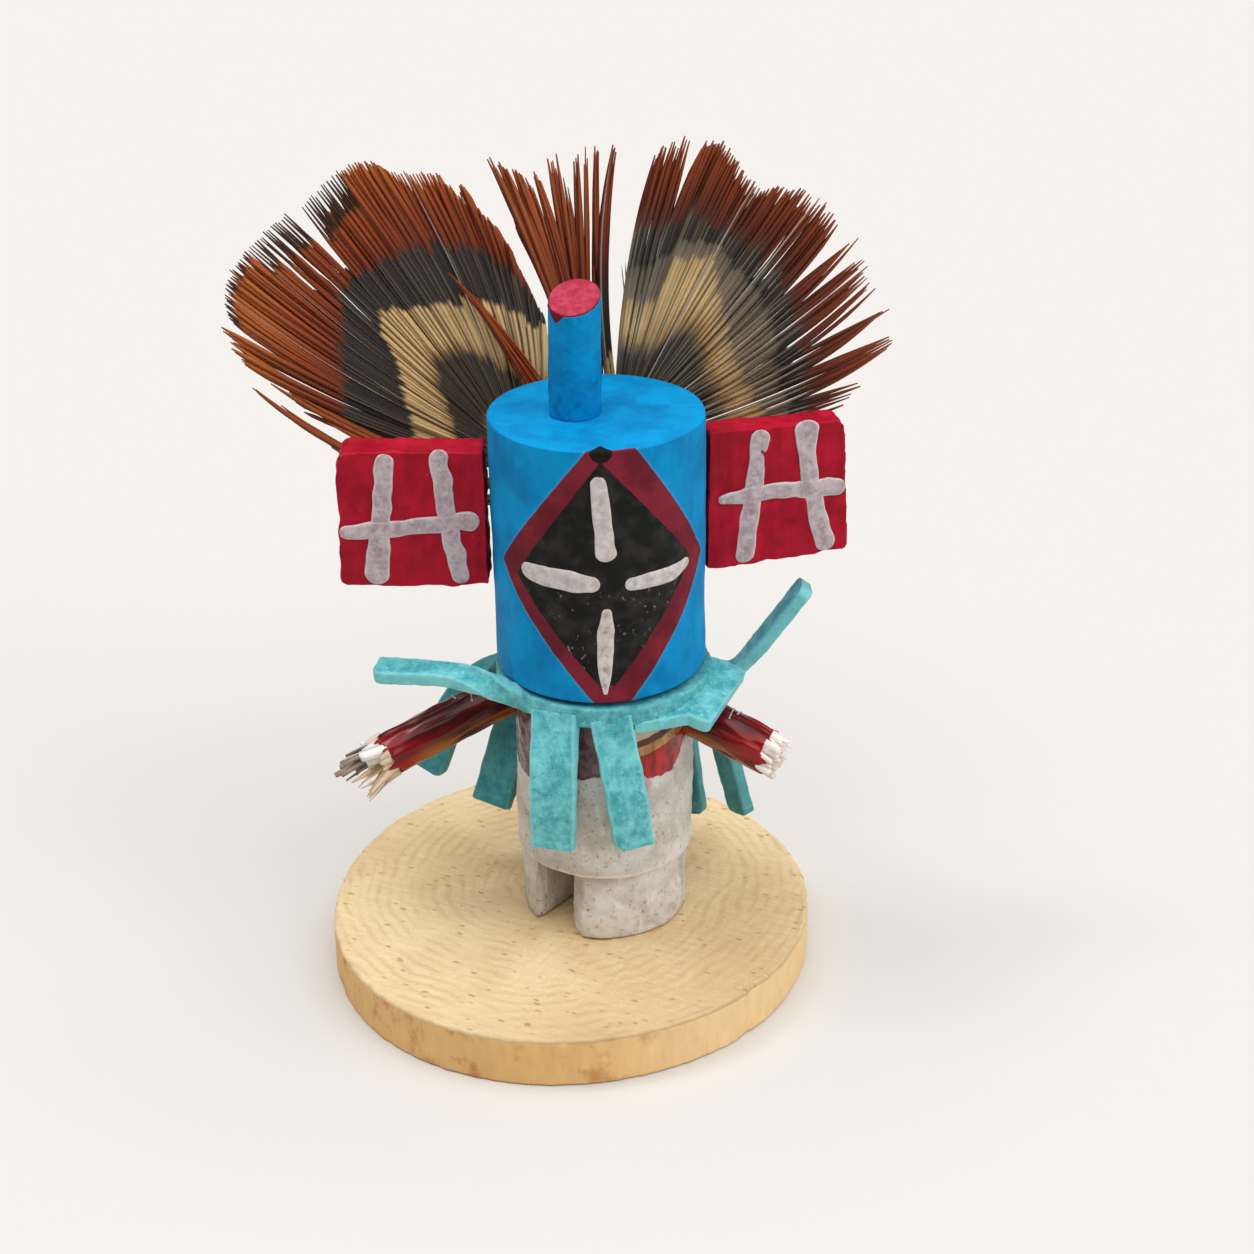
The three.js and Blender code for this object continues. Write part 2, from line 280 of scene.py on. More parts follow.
class Graph:
    """A material's nodes, written as short expressions. Coordinates are in millimetres."""

    def __init__(self, name):
        self.material = bpy.data.materials.new(name)
        self.material.use_nodes = True
        self.tree = self.material.node_tree
        self.shader = self.tree.nodes["Principled BSDF"]
        metres = self.output("ShaderNodeTexCoord", key="Object")
        self.place = self.vector("SCALE", metres, scale=1 / MM)

    def node(self, kind, inputs, **settings):
        node = self.tree.nodes.new(kind)
        for key, value in settings.items():
            setattr(node, key, value)
        for key, value in inputs.items():
            self.feed(node.inputs[key], value)
        return node

    def output(self, kind, inputs=None, key=0, **settings):
        """Adds a node and returns one of its outputs."""
        return Value(self, self.node(kind, inputs or {}, **settings).outputs[key])

    def feed(self, socket, value):
        if isinstance(value, Value):
            self.tree.links.new(value.socket, socket)
        else:
            socket.default_value = value

    def math(self, operation, *values):
        return self.output("ShaderNodeMath", dict(enumerate(values)), operation=operation)

    def vector(self, operation, *values, scale=None):
        inputs = dict(enumerate(values))
        if scale is not None:
            inputs["Scale"] = scale
        key = "Value" if operation in ("DOT_PRODUCT", "LENGTH") else "Vector"
        return self.output("ShaderNodeVectorMath", inputs, key, operation=operation)

    def parts(self, vector):
        node = self.node("ShaderNodeSeparateXYZ", {"Vector": vector})
        return [Value(self, socket) for socket in node.outputs]

    def join(self, x, y, z):
        return self.output("ShaderNodeCombineXYZ", {"X": x, "Y": y, "Z": z})

    def stretch(self, x, y, z):
        return self.vector("MULTIPLY", self.place, (x, y, z))

    def noise(self, size, detail=3.0, roughness=0.5, distortion=0.0, vector=None):
        """Noise from 0 to 1 with features of about the given size."""
        inputs = {
            "Vector": vector or self.place,
            "Scale": 1 / size,
            "Detail": detail,
            "Roughness": roughness,
            "Distortion": distortion,
        }
        return self.output("ShaderNodeTexNoise", inputs, "Fac")

    def cells(self, size, vector=None):
        """The distance to the nearest of some scattered points, in shares of the given size."""
        inputs = {"Vector": vector or self.place, "Scale": 1 / size}
        return self.output("ShaderNodeTexVoronoi", inputs, "Distance")

    def value(self, name):
        return self.output("ShaderNodeAttribute", key="Fac", attribute_name=name)

    def step(self, value, low, high):
        """0 below low and 1 above high, smooth between. low may be the larger."""
        inputs = {"Value": value, "From Min": low, "From Max": high}
        return self.output("ShaderNodeMapRange", inputs, interpolation_type="SMOOTHSTEP")

    def ramp(self, value, stops):
        node = self.node("ShaderNodeValToRGB", {"Fac": value})
        elements = node.color_ramp.elements
        while len(elements) < len(stops):
            elements.new(0.5)
        for element, (position, colour) in zip(elements, stops):
            element.position = position
            element.color = colour
        return Value(self, node.outputs["Color"])

    def mix(self, factor, a, b):
        """Colour a where the factor is 0 and b where it is 1."""
        return self.output("ShaderNodeMix", {0: factor, 6: a, 7: b}, 2, data_type="RGBA")

    def tint(self, colour, value, low, high):
        """The colour made darker or lighter, from low to high, as the value goes from 0 to 1."""
        inputs = {"Value": value, "To Min": low, "To Max": high}
        amount = self.output("ShaderNodeMapRange", inputs)
        return self.vector("MULTIPLY", colour, self.join(amount, amount, amount))

    def finish(self, colour, roughness, height=None, relief=0.05, **constants):
        """Feeds the shader. relief is the bump depth in millimetres, constants name shader sockets."""
        self.feed(self.shader.inputs["Base Color"], colour)
        self.feed(self.shader.inputs["Roughness"], roughness)
        for key, value in constants.items():
            self.shader.inputs[key.replace("_", " ")].default_value = value
        if height is not None:
            inputs = {"Height": height, "Strength": 1.0, "Distance": relief * MM}
            self.feed(self.shader.inputs["Normal"], self.output("ShaderNodeBump", inputs, "Normal"))
        return self.material


# ---------------------------------------------------------------- fine meshes of carved solids

def prism(shape, outline, low, high):
    """An upright closed prism over an outline of (x, y) points that runs anticlockwise."""
    outline = np.asarray(outline, float)
    count = len(outline)
    bottom = np.column_stack([outline, np.full(count, low)])
    top = np.column_stack([outline, np.full(count, high)])
    sides = grid_faces(2, count, wrap=True)
    caps = [np.arange(count)[::-1][None], np.arange(count, 2 * count)[None]]
    shape.add(np.vstack([bottom, top]), [sides, *caps])


def fine_solid(shape, voxel, softening):
    """Joins overlapping closed shapes into one even, fine mesh with softened edges.

    Returns its points, normals and quads.
    """
    mesh = bpy.data.meshes.new("draft")
    mesh.from_pydata(np.vstack(shape.points).tolist(), [], shape.faces)
    draft = bpy.data.objects.new("draft", mesh)
    bpy.context.scene.collection.objects.link(draft)
    remesh = draft.modifiers.new("even", "REMESH")
    remesh.mode = "VOXEL"
    remesh.voxel_size = voxel
    smooth = draft.modifiers.new("soft", "SMOOTH")
    smooth.iterations = softening
    smooth.factor = 0.5
    bpy.context.view_layer.update()
    made = bpy.data.meshes.new_from_object(draft.evaluated_get(bpy.context.evaluated_depsgraph_get()))
    points = np.empty(len(made.vertices) * 3)
    made.vertices.foreach_get("co", points)
    normals = np.empty(len(made.vertices) * 3)
    made.vertex_normals.foreach_get("vector", normals)
    corners = np.empty(len(made.loops), np.int32)
    made.loops.foreach_get("vertex_index", corners)
    bpy.data.objects.remove(draft)
    bpy.data.meshes.remove(mesh)
    bpy.data.meshes.remove(made)
    return points.reshape(-1, 3), normals.reshape(-1, 3), corners.reshape(-1, 4)


# ---------------------------------------------------------------- wood slice

SLICE_COLUMNS = 420
SLICE_TOP_RINGS = 110
SLICE_RIM_ROWS = 34
SLICE_EDGE = 0.22
SLICE_CHIP_DEPTH = 0.25
SLICE_TOP_DIP = 0.06
SAW_MARKS = np.array([[0.35, 0.9], [0.9, -0.35]])


def slice_radius(angle):
    """The branch was not quite round: two low waves around the rim."""
    return BASE_RADIUS + 0.25 * np.cos(2 * angle - 1.9) + 0.2 * np.cos(3 * angle + 0.6)


def rim_ridges(angle, height):
    """Uneven upright ridges where the bark came away, twisting a little as they rise."""
    turn = angle + 0.03 * np.sin(2 * angle) * height / BASE_TOP
    around = on_circle(turn) * BASE_RADIUS
    coarse = waves(around, 3.2, 11)
    fine = waves(around, 0.9, 12)
    spotty = waves(np.concatenate([around, height[..., None] * 0.6], -1), 1.6, 13)
    return 0.03 * coarse + 0.022 * fine + 0.025 * spotty - 0.07


def wood_slice():
    angle = full_turn(SLICE_COLUMNS)
    rows = []
    for share in np.linspace(0.03, 1, 12)[:-1]:
        rows.append((share, np.zeros(SLICE_COLUMNS)))
    for height in BASE_TOP * np.linspace(0, 1, SLICE_RIM_ROWS):
        rows.append((1.0, np.full(SLICE_COLUMNS, height)))
    for share in np.linspace(1, 0.004, SLICE_TOP_RINGS)[1:]:
        rows.append((share, np.full(SLICE_COLUMNS, BASE_TOP)))
    share = np.array([row[0] for row in rows])[:, None]
    height = np.array([row[1] for row in rows])
    radius = slice_radius(angle)[None] + rim_ridges(np.broadcast_to(angle, height.shape), height)
    inset = SLICE_EDGE * (1 - rounded(np.minimum(height, BASE_TOP - height), SLICE_EDGE))
    chipped = np.clip(waves(on_circle(angle) * BASE_RADIUS, 1.7, 15) - 0.9, 0, 1)
    upper_edge = smoothstep(height, BASE_TOP - 0.8, BASE_TOP)
    radius = (radius - inset - SLICE_CHIP_DEPTH * chipped[None] * upper_edge) * share
    points = np.stack([radius * np.cos(angle), radius * np.sin(angle), height], -1)
    flat = share < 1
    sawn = 0.018 * waves(points[..., :2] @ SAW_MARKS * [0.18, 1.0], 0.8, 16)
    worn = 0.05 * waves(points[..., :2], 11.0, 17)
    on_top = (flat & (height > BASE_TOP / 2)).astype(float)
    points[..., 2] += on_top * (sawn + worn - SLICE_TOP_DIP) * smoothstep(1 - share, 0, 0.02)
    shape = Shape()
    hubs = [[0, 0, 0], [0, 0, BASE_TOP - SLICE_TOP_DIP / 2]]
    count = len(rows) * SLICE_COLUMNS
    faces = [
        grid_faces(len(rows), SLICE_COLUMNS, wrap=True),
        fan_faces(0, SLICE_COLUMNS, count, reverse=True),
        fan_faces((len(rows) - 1) * SLICE_COLUMNS, SLICE_COLUMNS, count + 1),
    ]
    shape.add(np.vstack([points.reshape(-1, 3), hubs]), faces)
    add_piece("base_slice_wood", shape, [slice_material()], ["base_slice"])


def slice_material():
    g = Graph("branch_wood")
    x, y, z = g.parts(g.place)
    flat = g.join(x, y, 0.0)
    radius = g.vector("LENGTH", g.vector("ADD", flat, (1.5, -2.5, 0.0)))
    wander = g.noise(9.0, detail=2.0, vector=flat) * 3.2 + g.noise(2.4, vector=flat) * 0.6
    rings = g.step(g.math("SINE", (radius + wander) * 5.6), -0.4, 1.0)
    rings = rings * g.step(g.noise(5.0, detail=2.0, vector=flat), 0.36, 0.66)
    broad = g.noise(12.0, vector=flat)
    across = x * 0.36 + y * 0.93
    along = x * 0.93 - y * 0.36
    sawn = g.join(across, along * 0.16, 0.0)
    top = g.mix(g.step(broad, 0.38, 0.66), srgb(231, 206, 162), srgb(218, 190, 145))
    right = g.step(x * 0.6 - y, 6.0, 26.0)
    top = g.mix(right * 0.6, top, srgb(192, 159, 115))
    top = g.mix(rings * 0.3, top, srgb(186, 148, 100))
    saw = g.noise(0.5, vector=sawn)
    top = g.tint(top, saw, 0.84, 1.12)
    grain = g.noise(0.3, detail=4.0, roughness=0.7, vector=flat)
    top = g.tint(top, grain, 0.82, 1.16)
    dashes = g.cells(0.8, vector=g.join(across, along * 0.42, 0.0))
    sparse = g.step(g.noise(1.9, vector=flat), 0.4, 0.56)
    pore_mask = g.step(dashes, 0.24, 0.1) * sparse
    top = g.mix(pore_mask * 0.6, top, srgb(150, 106, 62))

    around = g.join(x, y, z * 0.22)
    streaks = g.noise(0.9, detail=4.0, roughness=0.6, vector=around)
    blotches = g.noise(3.0, detail=4.0, roughness=0.65, vector=g.stretch(1.0, 1.0, 0.8))
    left_front = g.step(x * -1.0 - y * 0.5, -6.0, 14.0)
    rim = g.mix(left_front, srgb(240, 206, 152), srgb(228, 184, 122))
    rim = g.tint(rim, streaks, 0.84, 1.14)
    brown = g.step(blotches, 0.5, 0.68) * (left_front * 0.65 + 0.12)
    rim = g.mix(brown, rim, srgb(186, 122, 62))
    dark_lines = g.step(g.noise(0.45, detail=2.0, vector=g.join(x, y, z * 0.12)), 0.66, 0.76)
    rim = g.mix(dark_lines * 0.25, rim, srgb(134, 86, 46))

    is_top = g.step(z, BASE_TOP - 0.48, BASE_TOP - 0.34)
    colour = g.mix(is_top, rim, top)
    height = saw * 0.5 + streaks * 0.5 - pore_mask * 0.5
    return g.finish(colour, 0.78, height, relief=0.05, Specular_IOR_Level=0.2)


# ---------------------------------------------------------------- body

KILT_HEM = 11.9
LEG_RADIUS = 7.8
LEG_FORWARD = 0.4
LEG_CORNER = 0.6
LEG_SLOT_WIDTH = 3.4
LEG_SLOT_TURN = math.radians(38)
LEG_SLOT_BACK = 0.37
LEG_SLOT_FORWARD = 0.11
LEG_CHIP = ((1.4, -8.09), (0.44, -5.56))
HEM_UNDERCUT = 0.45
FOOT_SUNK = 0.27
BODY_VOXEL = 0.2
SHIRT_EDGE = [(-180, 22.5), (-90, 21.5), (-55, 20.7), (-14, 22.4), (-6, 22.9), (23, 22.6), (29, 22.3),
              (34, 21.9), (49, 21.9), (57, 23.2), (65, 24.6), (80, 25.5), (110, 23.5), (180, 22.5)]


def leg_outline(side):
    """One leg's plan: the foot's circle on one side of the slot, its corners a little cut back."""
    centre = np.array([BODY_X, BODY_Y - LEG_FORWARD])
    across = np.array([math.cos(LEG_SLOT_TURN), -math.sin(LEG_SLOT_TURN)])
    middle = np.array([BODY_X - LEG_SLOT_BACK, BODY_Y - LEG_SLOT_FORWARD])
    chord = (middle - centre) @ across + side * LEG_SLOT_WIDTH / 2
    facing = math.atan2(side * across[1], side * across[0])
    half = math.acos(np.clip(side * chord / LEG_RADIUS, -1, 1)) - 0.06
    angles = facing + np.linspace(-half, half, 90)
    arc = centre + LEG_RADIUS * np.stack([np.cos(angles), np.sin(angles)], -1)
    ends = [arc[-1], arc[0]]
    towards = unit(ends[1] - ends[0])
    slot_side = -side * across
    gap = [side * (centre @ across + chord - end @ across) for end in ends]
    corners = [ends[0] + towards * LEG_CORNER - slot_side * gap[0],
               ends[1] - towards * LEG_CORNER - slot_side * gap[1]]
    outline = np.vstack([arc, corners])
    return beyond(outline, *LEG_CHIP) if side > 0 else outline


def beyond(outline, start, end):
    """The part of a convex outline on the right of the line from start to end."""
    start, end = np.array(start), np.array(end)
    direction = unit(end - start)
    depth = (outline - start) @ np.array([direction[1], -direction[0]])
    kept = []
    for i in range(len(outline)):
        j = (i + 1) % len(outline)
        if depth[i] >= 0:
            kept.append(outline[i])
        if depth[i] * depth[j] < 0:
            kept.append(outline[i] + (outline[j] - outline[i]) * depth[i] / (depth[i] - depth[j]))
    return np.array(kept)


def body_painting(points):
    """Each point's height above the painted shirt's edge, and its angle from the front in degrees."""
    angle = np.degrees(np.arctan2(points[:, 0] - BODY_X, -(points[:, 1] - BODY_Y)))
    edge = np.interp(angle, *zip(*SHIRT_EDGE))
    return points[:, 2] - edge, angle


def body():
    draft = Shape()
    ring = on_circle(full_turn(200))
    prism(draft, ring * BODY_RADIUS + [BODY_X, BODY_Y], KILT_HEM, BODY_TOP)
    for side in (-1, 1):
        prism(draft, leg_outline(side), BODY_LOW[2] - FOOT_SUNK, KILT_HEM + 1)
    points, normals, quads = fine_solid(draft, BODY_VOXEL, 2)
    dents = 0.05 * waves(points, 6.0, 21) + 0.018 * waves(points, 1.8, 22) + 0.01 * waves(points, 0.6, 23)
    upright = 1 - np.abs(normals[:, 2])
    above, angle = body_painting(points)
    height = points[:, 2]
    under_hem = smoothstep(height, 6.5, KILT_HEM - 0.4) * (height < KILT_HEM - 0.1) * (np.abs(angle) < 70)
    outer = np.hypot(points[:, 0] - BODY_X, points[:, 1] - BODY_Y) > LEG_RADIUS - 1
    dents = dents - HEM_UNDERCUT * under_hem * outer
    points = points + normals * (dents * (0.25 + 0.75 * upright))[:, None]
    shape = Shape()
    shape.add(points, [quads], above=above, angle=angle)
    add_piece("body_wood", shape, [body_material()], ["body"])


def body_material():
    g = Graph("painted_body")
    z = g.parts(g.place)[2]
    above = g.value("above") + (g.noise(1.1) - 0.5) * 0.9
    angle = g.value("angle")
    grain = g.noise(0.7, detail=4.0, roughness=0.65, vector=g.stretch(1.0, 1.0, 0.3))
    patches = g.noise(3.4, detail=4.0, roughness=0.6)
    wash = g.mix(g.step(patches, 0.3, 0.66), srgb(192, 184, 174), srgb(226, 222, 217))
    wash = g.tint(wash, grain, 0.86, 1.1)
    bare = g.step(g.noise(1.3, detail=5.0, roughness=0.7, vector=g.stretch(1.0, 1.0, 0.6)), 0.56, 0.72)
    wash = g.mix(bare * 0.6, wash, srgb(146, 122, 102))
    pores = g.step(g.cells(0.95, vector=g.stretch(1.0, 1.0, 0.62)), 0.2, 0.08)
    some = g.step(g.noise(1.9, detail=2.0), 0.42, 0.6)
    wash = g.mix(pores * some * 0.7, wash, srgb(118, 96, 80))
    speck = g.step(g.noise(0.42, roughness=0.6), 0.58, 0.68)
    wash = g.mix(speck * 0.55, wash, srgb(140, 124, 112))
    dabs = g.step(g.noise(2.3, roughness=0.6, vector=g.stretch(1.4, 1.4, 0.45)), 0.6, 0.72)
    wash = g.mix(dabs * 0.65, wash, srgb(240, 236, 234))
    smear = g.step(abs(angle - 27.0), 7.0, 2.0) * g.step(above, -4.2, -0.6)
    wash = g.mix(smear * 0.45, wash, srgb(176, 96, 122))

    streak = g.noise(0.8, detail=4.0, vector=g.stretch(1.0, 1.0, 0.25))
    red = g.mix(g.step(streak, 0.4, 0.64), srgb(128, 8, 14), srgb(190, 18, 20))
    plum = g.mix(g.step(g.noise(1.0, detail=4.0), 0.4, 0.62), srgb(92, 60, 68), srgb(130, 96, 92))
    right = g.step(angle, 14.0, 20.0)
    shirt = g.mix(right, plum, red)
    line = 24.35 + (angle - 20.0) * 0.035
    over = z + (g.noise(1.6) - 0.5) * 0.5 - line
    gold = g.mix(g.step(streak, 0.35, 0.65), srgb(150, 96, 40), srgb(206, 158, 92))
    trim = g.mix(g.step(over, 0.0, 0.12), shirt, gold)
    trim = g.mix(g.step(over, 0.95, 1.1), trim, srgb(92, 42, 24))
    trim = g.mix(g.step(over, 1.7, 1.85), trim, srgb(214, 192, 160))
    beside = right * g.step(angle, 66.0, 58.0)
    shirt = g.mix(beside, shirt, trim)
    is_shirt = g.step(above, -0.06, 0.06)
    # Painted highlight: a lighter band along the kilt's hem, for light catching the hem's lower edge.
    hem_highlight = g.step(abs(z - (KILT_HEM + 0.08)), 0.3, 0.08)
    wash = g.mix(hem_highlight * 0.6, wash, srgb(240, 236, 230))
    colour = g.mix(is_shirt, wash, shirt)
    height = grain * 0.6 + g.noise(0.35) * 0.4 - pores * 0.35
    roughness = 0.62 - is_shirt * 0.42
    return g.finish(colour, roughness, height, relief=0.06, Specular_IOR_Level=0.4)


# ---------------------------------------------------------------- head

HEAD_COLUMNS = 300
HEAD_TOP_EDGE = 0.14
HEAD_BOTTOM_EDGE = 0.3
FACE_OUTER = [(-61.0, 12.0), (1.05, 24.9), (16.5, 24.9), (72.1, 11.7), (14.6, -0.4), (-0.5, -0.4)]
FACE_INNER = [(2.7, 22.9), (57.5, 12.3), (8.0, 1.75), (0.5, 1.65), (-47.6, 11.45)]
BLUE_DEEP = srgb(0, 120, 178)
BLUE_BRIGHT = srgb(0, 146, 206)


def head_place(points):
    """Turns points about the head's own axis, with its foot at zero, into the leaning head's place."""
    cos, sin = math.cos(HEAD_LEAN), math.sin(HEAD_LEAN)
    x, y, z = np.moveaxis(points, -1, 0)
    return np.stack([HEAD_X + x * cos - z * sin, HEAD_Y + y, HEAD_BOTTOM + x * sin + z * cos], -1)


def on_head(along, height, lift):
    """A point on the head's side: millimetres around from the front, height, and lift off it."""
    angle = np.asarray(along) / HEAD_RADIUS
    radius = HEAD_RADIUS + lift
    return head_place(np.stack([radius * np.sin(angle), -radius * np.cos(angle), height], -1))


def face_places(corners):
    """Corners given as degrees from the front and height, as millimetres around the head and height."""
    return np.array([(math.radians(angle) * HEAD_RADIUS, height) for angle, height in corners])


def head():
    edge = np.linspace(0, math.pi / 2, 6)
    low = [(HEAD_RADIUS - HEAD_BOTTOM_EDGE * (1 - math.sin(a)), HEAD_BOTTOM_EDGE * (1 - math.cos(a)))
           for a in edge]
    side_heights = np.linspace(HEAD_BOTTOM_EDGE, HEAD_HEIGHT - HEAD_TOP_EDGE, 90)[1:-1]
    high = [(HEAD_RADIUS - HEAD_TOP_EDGE * (1 - math.cos(a)),
             HEAD_HEIGHT - HEAD_TOP_EDGE * (1 - math.sin(a))) for a in edge]
    profile = [(r, 0.0) for r in np.linspace(0.05, low[0][0], 16)[:-1]] + low
    profile += [(HEAD_RADIUS, h) for h in side_heights] + high
    profile += [(r, HEAD_HEIGHT) for r in np.linspace(high[-1][0], 0.05, 46)[1:]]
    angle = full_turn(HEAD_COLUMNS)
    radius = np.array([p[0] for p in profile])[:, None]
    height = np.array([p[1] for p in profile])[:, None]
    points = np.stack(np.broadcast_arrays(radius * np.sin(angle), -radius * np.cos(angle), height), -1)
    bumps = 0.03 * waves(points, 7.0, 31) + 0.01 * waves(points * [1, 1, 0.35], 0.8, 32)
    outward = np.stack(np.broadcast_arrays(np.sin(angle), -np.cos(angle), 0.0), -1)
    side = ((height > 0.01) & (height < HEAD_HEIGHT - 0.01))[..., None]
    points = points + np.where(side, outward, 0) * bumps[..., None]
    on_top = np.broadcast_to(height > HEAD_HEIGHT - 0.01, bumps.shape)
    points[..., 2] += np.where(on_top, bumps * smoothstep(HEAD_RADIUS - radius, 0.1, 0.6), 0)
    shape = Shape()
    shape.tube(head_place(points))
    add_piece("head_wood", shape, [head_material()], ["head"])


def blue_paint(g):
    """Flat blue paint: faint clouds, fainter brush marks and the odd darker smudge."""
    brush = g.noise(0.7, vector=g.stretch(1.0, 1.0, 0.25))
    clouds = g.noise(3.5, detail=4.0, roughness=0.6)
    shade = brush * 0.2 + clouds * 0.8
    colour = g.mix(g.step(shade, 0.34, 0.66), BLUE_DEEP, BLUE_BRIGHT)
    smudge = g.step(g.noise(1.5, detail=4.0, roughness=0.6), 0.64, 0.78)
    colour = g.mix(smudge * 0.3, colour, srgb(0, 92, 150))
    fleck = g.step(g.cells(1.9), 0.075, 0.03)
    colour = g.mix(fleck * 0.35, colour, srgb(60, 170, 224))
    return colour, brush, clouds


def polygon_distance(g, across, height, corners):
    """Signed distance to a convex polygon, negative inside. Corners run clockwise."""
    point = g.join(across, height, 0.0)
    distance = None
    for a, b in zip(corners, np.roll(corners, -1, axis=0)):
        direction = unit(b - a)
        normal = np.array([-direction[1], direction[0]])
        reach = g.vector("DOT_PRODUCT", point, (float(normal[0]), float(normal[1]), 0.0))
        reach = reach - float(normal @ a)
        distance = reach if distance is None else g.math("MAXIMUM", distance, reach)
    return distance


def head_material():
    g = Graph("painted_head")
    cos, sin = math.cos(HEAD_LEAN), math.sin(HEAD_LEAN)
    local = g.vector("SUBTRACT", g.place, (float(HEAD_X), float(HEAD_Y), float(HEAD_BOTTOM)))
    x = g.vector("DOT_PRODUCT", local, (cos, 0.0, sin))
    height = g.vector("DOT_PRODUCT", local, (-sin, 0.0, cos))
    y = g.parts(local)[1]
    angle = g.math("ARCTAN2", x, y * -1.0)
    around = angle * float(HEAD_RADIUS)
    radius = g.vector("LENGTH", g.join(x, y, 0.0))
    is_side = g.step(radius, HEAD_RADIUS - 0.32, HEAD_RADIUS - 0.2)

    blue, brush, clouds = blue_paint(g)
    wobble = (g.noise(0.9) - 0.5) * 0.16
    outer = polygon_distance(g, around, height, face_places(FACE_OUTER)) + wobble
    inner = polygon_distance(g, around, height, face_places(FACE_INNER)) + wobble
    maroon = g.mix(g.step(clouds, 0.36, 0.64), srgb(100, 26, 40), srgb(128, 36, 52))
    maroon = g.tint(maroon, brush, 0.92, 1.08)
    black = g.mix(g.step(g.noise(1.6, detail=4.0), 0.4, 0.66), srgb(24, 24, 24), srgb(44, 43, 42))
    scuff = g.step(g.noise(0.45, detail=4.0, roughness=0.7, vector=g.stretch(1.0, 1.0, 0.7)), 0.6, 0.66)
    where = g.step(g.noise(2.6, detail=1.0), 0.46, 0.56) * g.step(height, 12.5, 9.5)
    black = g.mix(scuff * where * 0.65, black, srgb(150, 146, 140))
    is_outer = g.step(outer, 0.04, -0.04) * is_side
    colour = g.mix(is_outer, blue, maroon)
    halo = g.step(outer, 0.3, 0.05) * g.step(outer, -0.04, 0.04) * is_side
    colour = g.mix(halo * 0.35, colour, srgb(70, 160, 205))
    is_inner = g.step(inner, 0.035, -0.035) * is_side
    colour = g.mix(is_inner, colour, black)
    blob_at = (float(math.radians(3.0) * HEAD_RADIUS), float(HEAD_HEIGHT) - 0.1, 0.0)
    blob_vector = g.vector("SUBTRACT", g.join(around, height, 0.0), blob_at)
    blob = g.vector("LENGTH", g.vector("MULTIPLY", blob_vector, (1.0, 1.05, 1.0)))
    inward = g.math("MAXIMUM", float(HEAD_RADIUS) - 0.2 - radius, 0.0)
    blob = blob + inward * 0.75
    blob = g.step(blob + wobble, 1.0, 0.92)
    colour = g.mix(blob, colour, srgb(26, 22, 22))
    relief = brush * 0.6 + is_inner * 0.3 + is_outer * 0.4
    roughness = 0.62 - is_inner * 0.08
    return g.finish(colour, roughness, relief, relief=0.025, Specular_IOR_Level=0.1)


# ---------------------------------------------------------------- raised white brush strokes

def brush_stroke(shape, place, path, widths, lift, seed, tone=0.0, unsteady=0.03, stations=70):
    """A closed ridge of thick paint along a path.

    place(a, b, lift) turns coordinates in the painted surface into a point. unsteady is how much
    each side strays, as a share of the width.
    """
    path = curve_through(path, stations)
    total = distances_along(path)[-1]
    spread = 0.5 - 0.5 * np.cos(np.linspace(0, math.pi, stations))
    travel = total * (0.35 * spread + 0.65 * np.linspace(0, 1, stations))
    centre = places_along(path, travel)
    along = unit(np.gradient(centre, axis=0))
    across = np.stack([-along[:, 1], along[:, 0]], -1)
    half = np.interp(travel / total, np.linspace(0, 1, len(widths)), widths) / 2
    to_end = np.minimum(travel, total - travel)
    end_round = rounded(to_end, np.maximum(half, 0.1))
    rng = np.random.default_rng(seed)
    rings = []
    edges = []
    turns = np.linspace(0, math.pi, 13)
    wobble = {}
    for side in (-1, 1):
        edge = np.stack([travel, np.full(stations, side * 9.0)], -1)
        wobble[side] = 1 + unsteady * waves(edge, 2.6, seed + side + 1)
    thickness = lift * (1 + 0.12 * waves(travel[:, None], 3.5, seed + 5)) * rng.uniform(0.9, 1.1)
    for i in range(stations):
        reach = np.cos(turns) * half[i] * end_round[i]
        reach = reach * np.where(reach > 0, wobble[1][i], wobble[-1][i]) + 0.004
        height = thickness[i] * np.sin(turns) ** 0.55 * (0.25 + 0.75 * end_round[i])
        height = height * (1 - 0.22 * np.exp(-(np.cos(turns) / 0.45) ** 2))
        top = centre[i] + across[i] * reach[:, None]
        under = top[-2:0:-3]
        a = np.concatenate([top[:, 0], under[:, 0]])
        b = np.concatenate([top[:, 1], under[:, 1]])
        up = np.concatenate([height - 0.02, np.full(len(under), -0.12)])
        rings.append(place(a, b, up))
        edges.append(np.concatenate([np.abs(np.cos(turns)), np.ones(len(under))]))
    shape.tube(rings[::-1], edge=np.array(edges)[::-1], tone=tone)


def face_strokes():
    shape = Shape()
    specs = [
        ([(1.3, 21.6), (1.9, 19.8), (3.6, 16.6), (4.8, 13.7)], [1.4, 1.6, 1.65, 1.95], 0.0),
        ([(-43.8, 12.2), (-36.0, 12.0), (-18.0, 11.85), (1.4, 11.5)], [1.3, 2.0, 2.0, 1.3], 0.1),
        ([(14.2, 11.35), (28.0, 11.45), (43.0, 11.5), (55.8, 12.0)], [1.1, 1.45, 1.5, 0.8], 0.35),
        ([(4.7, 9.3), (3.8, 7.2), (3.0, 4.0), (2.9, 0.9)], [0.8, 1.45, 1.5, 1.2, 0.35], 0.9),
    ]
    for seed, (corners, widths, tone) in enumerate(specs):
        brush_stroke(shape, on_head, face_places(corners), widths, 0.14, 300 + 10 * seed, tone)
    add_piece("face_strokes_white", shape, [white_paint()])


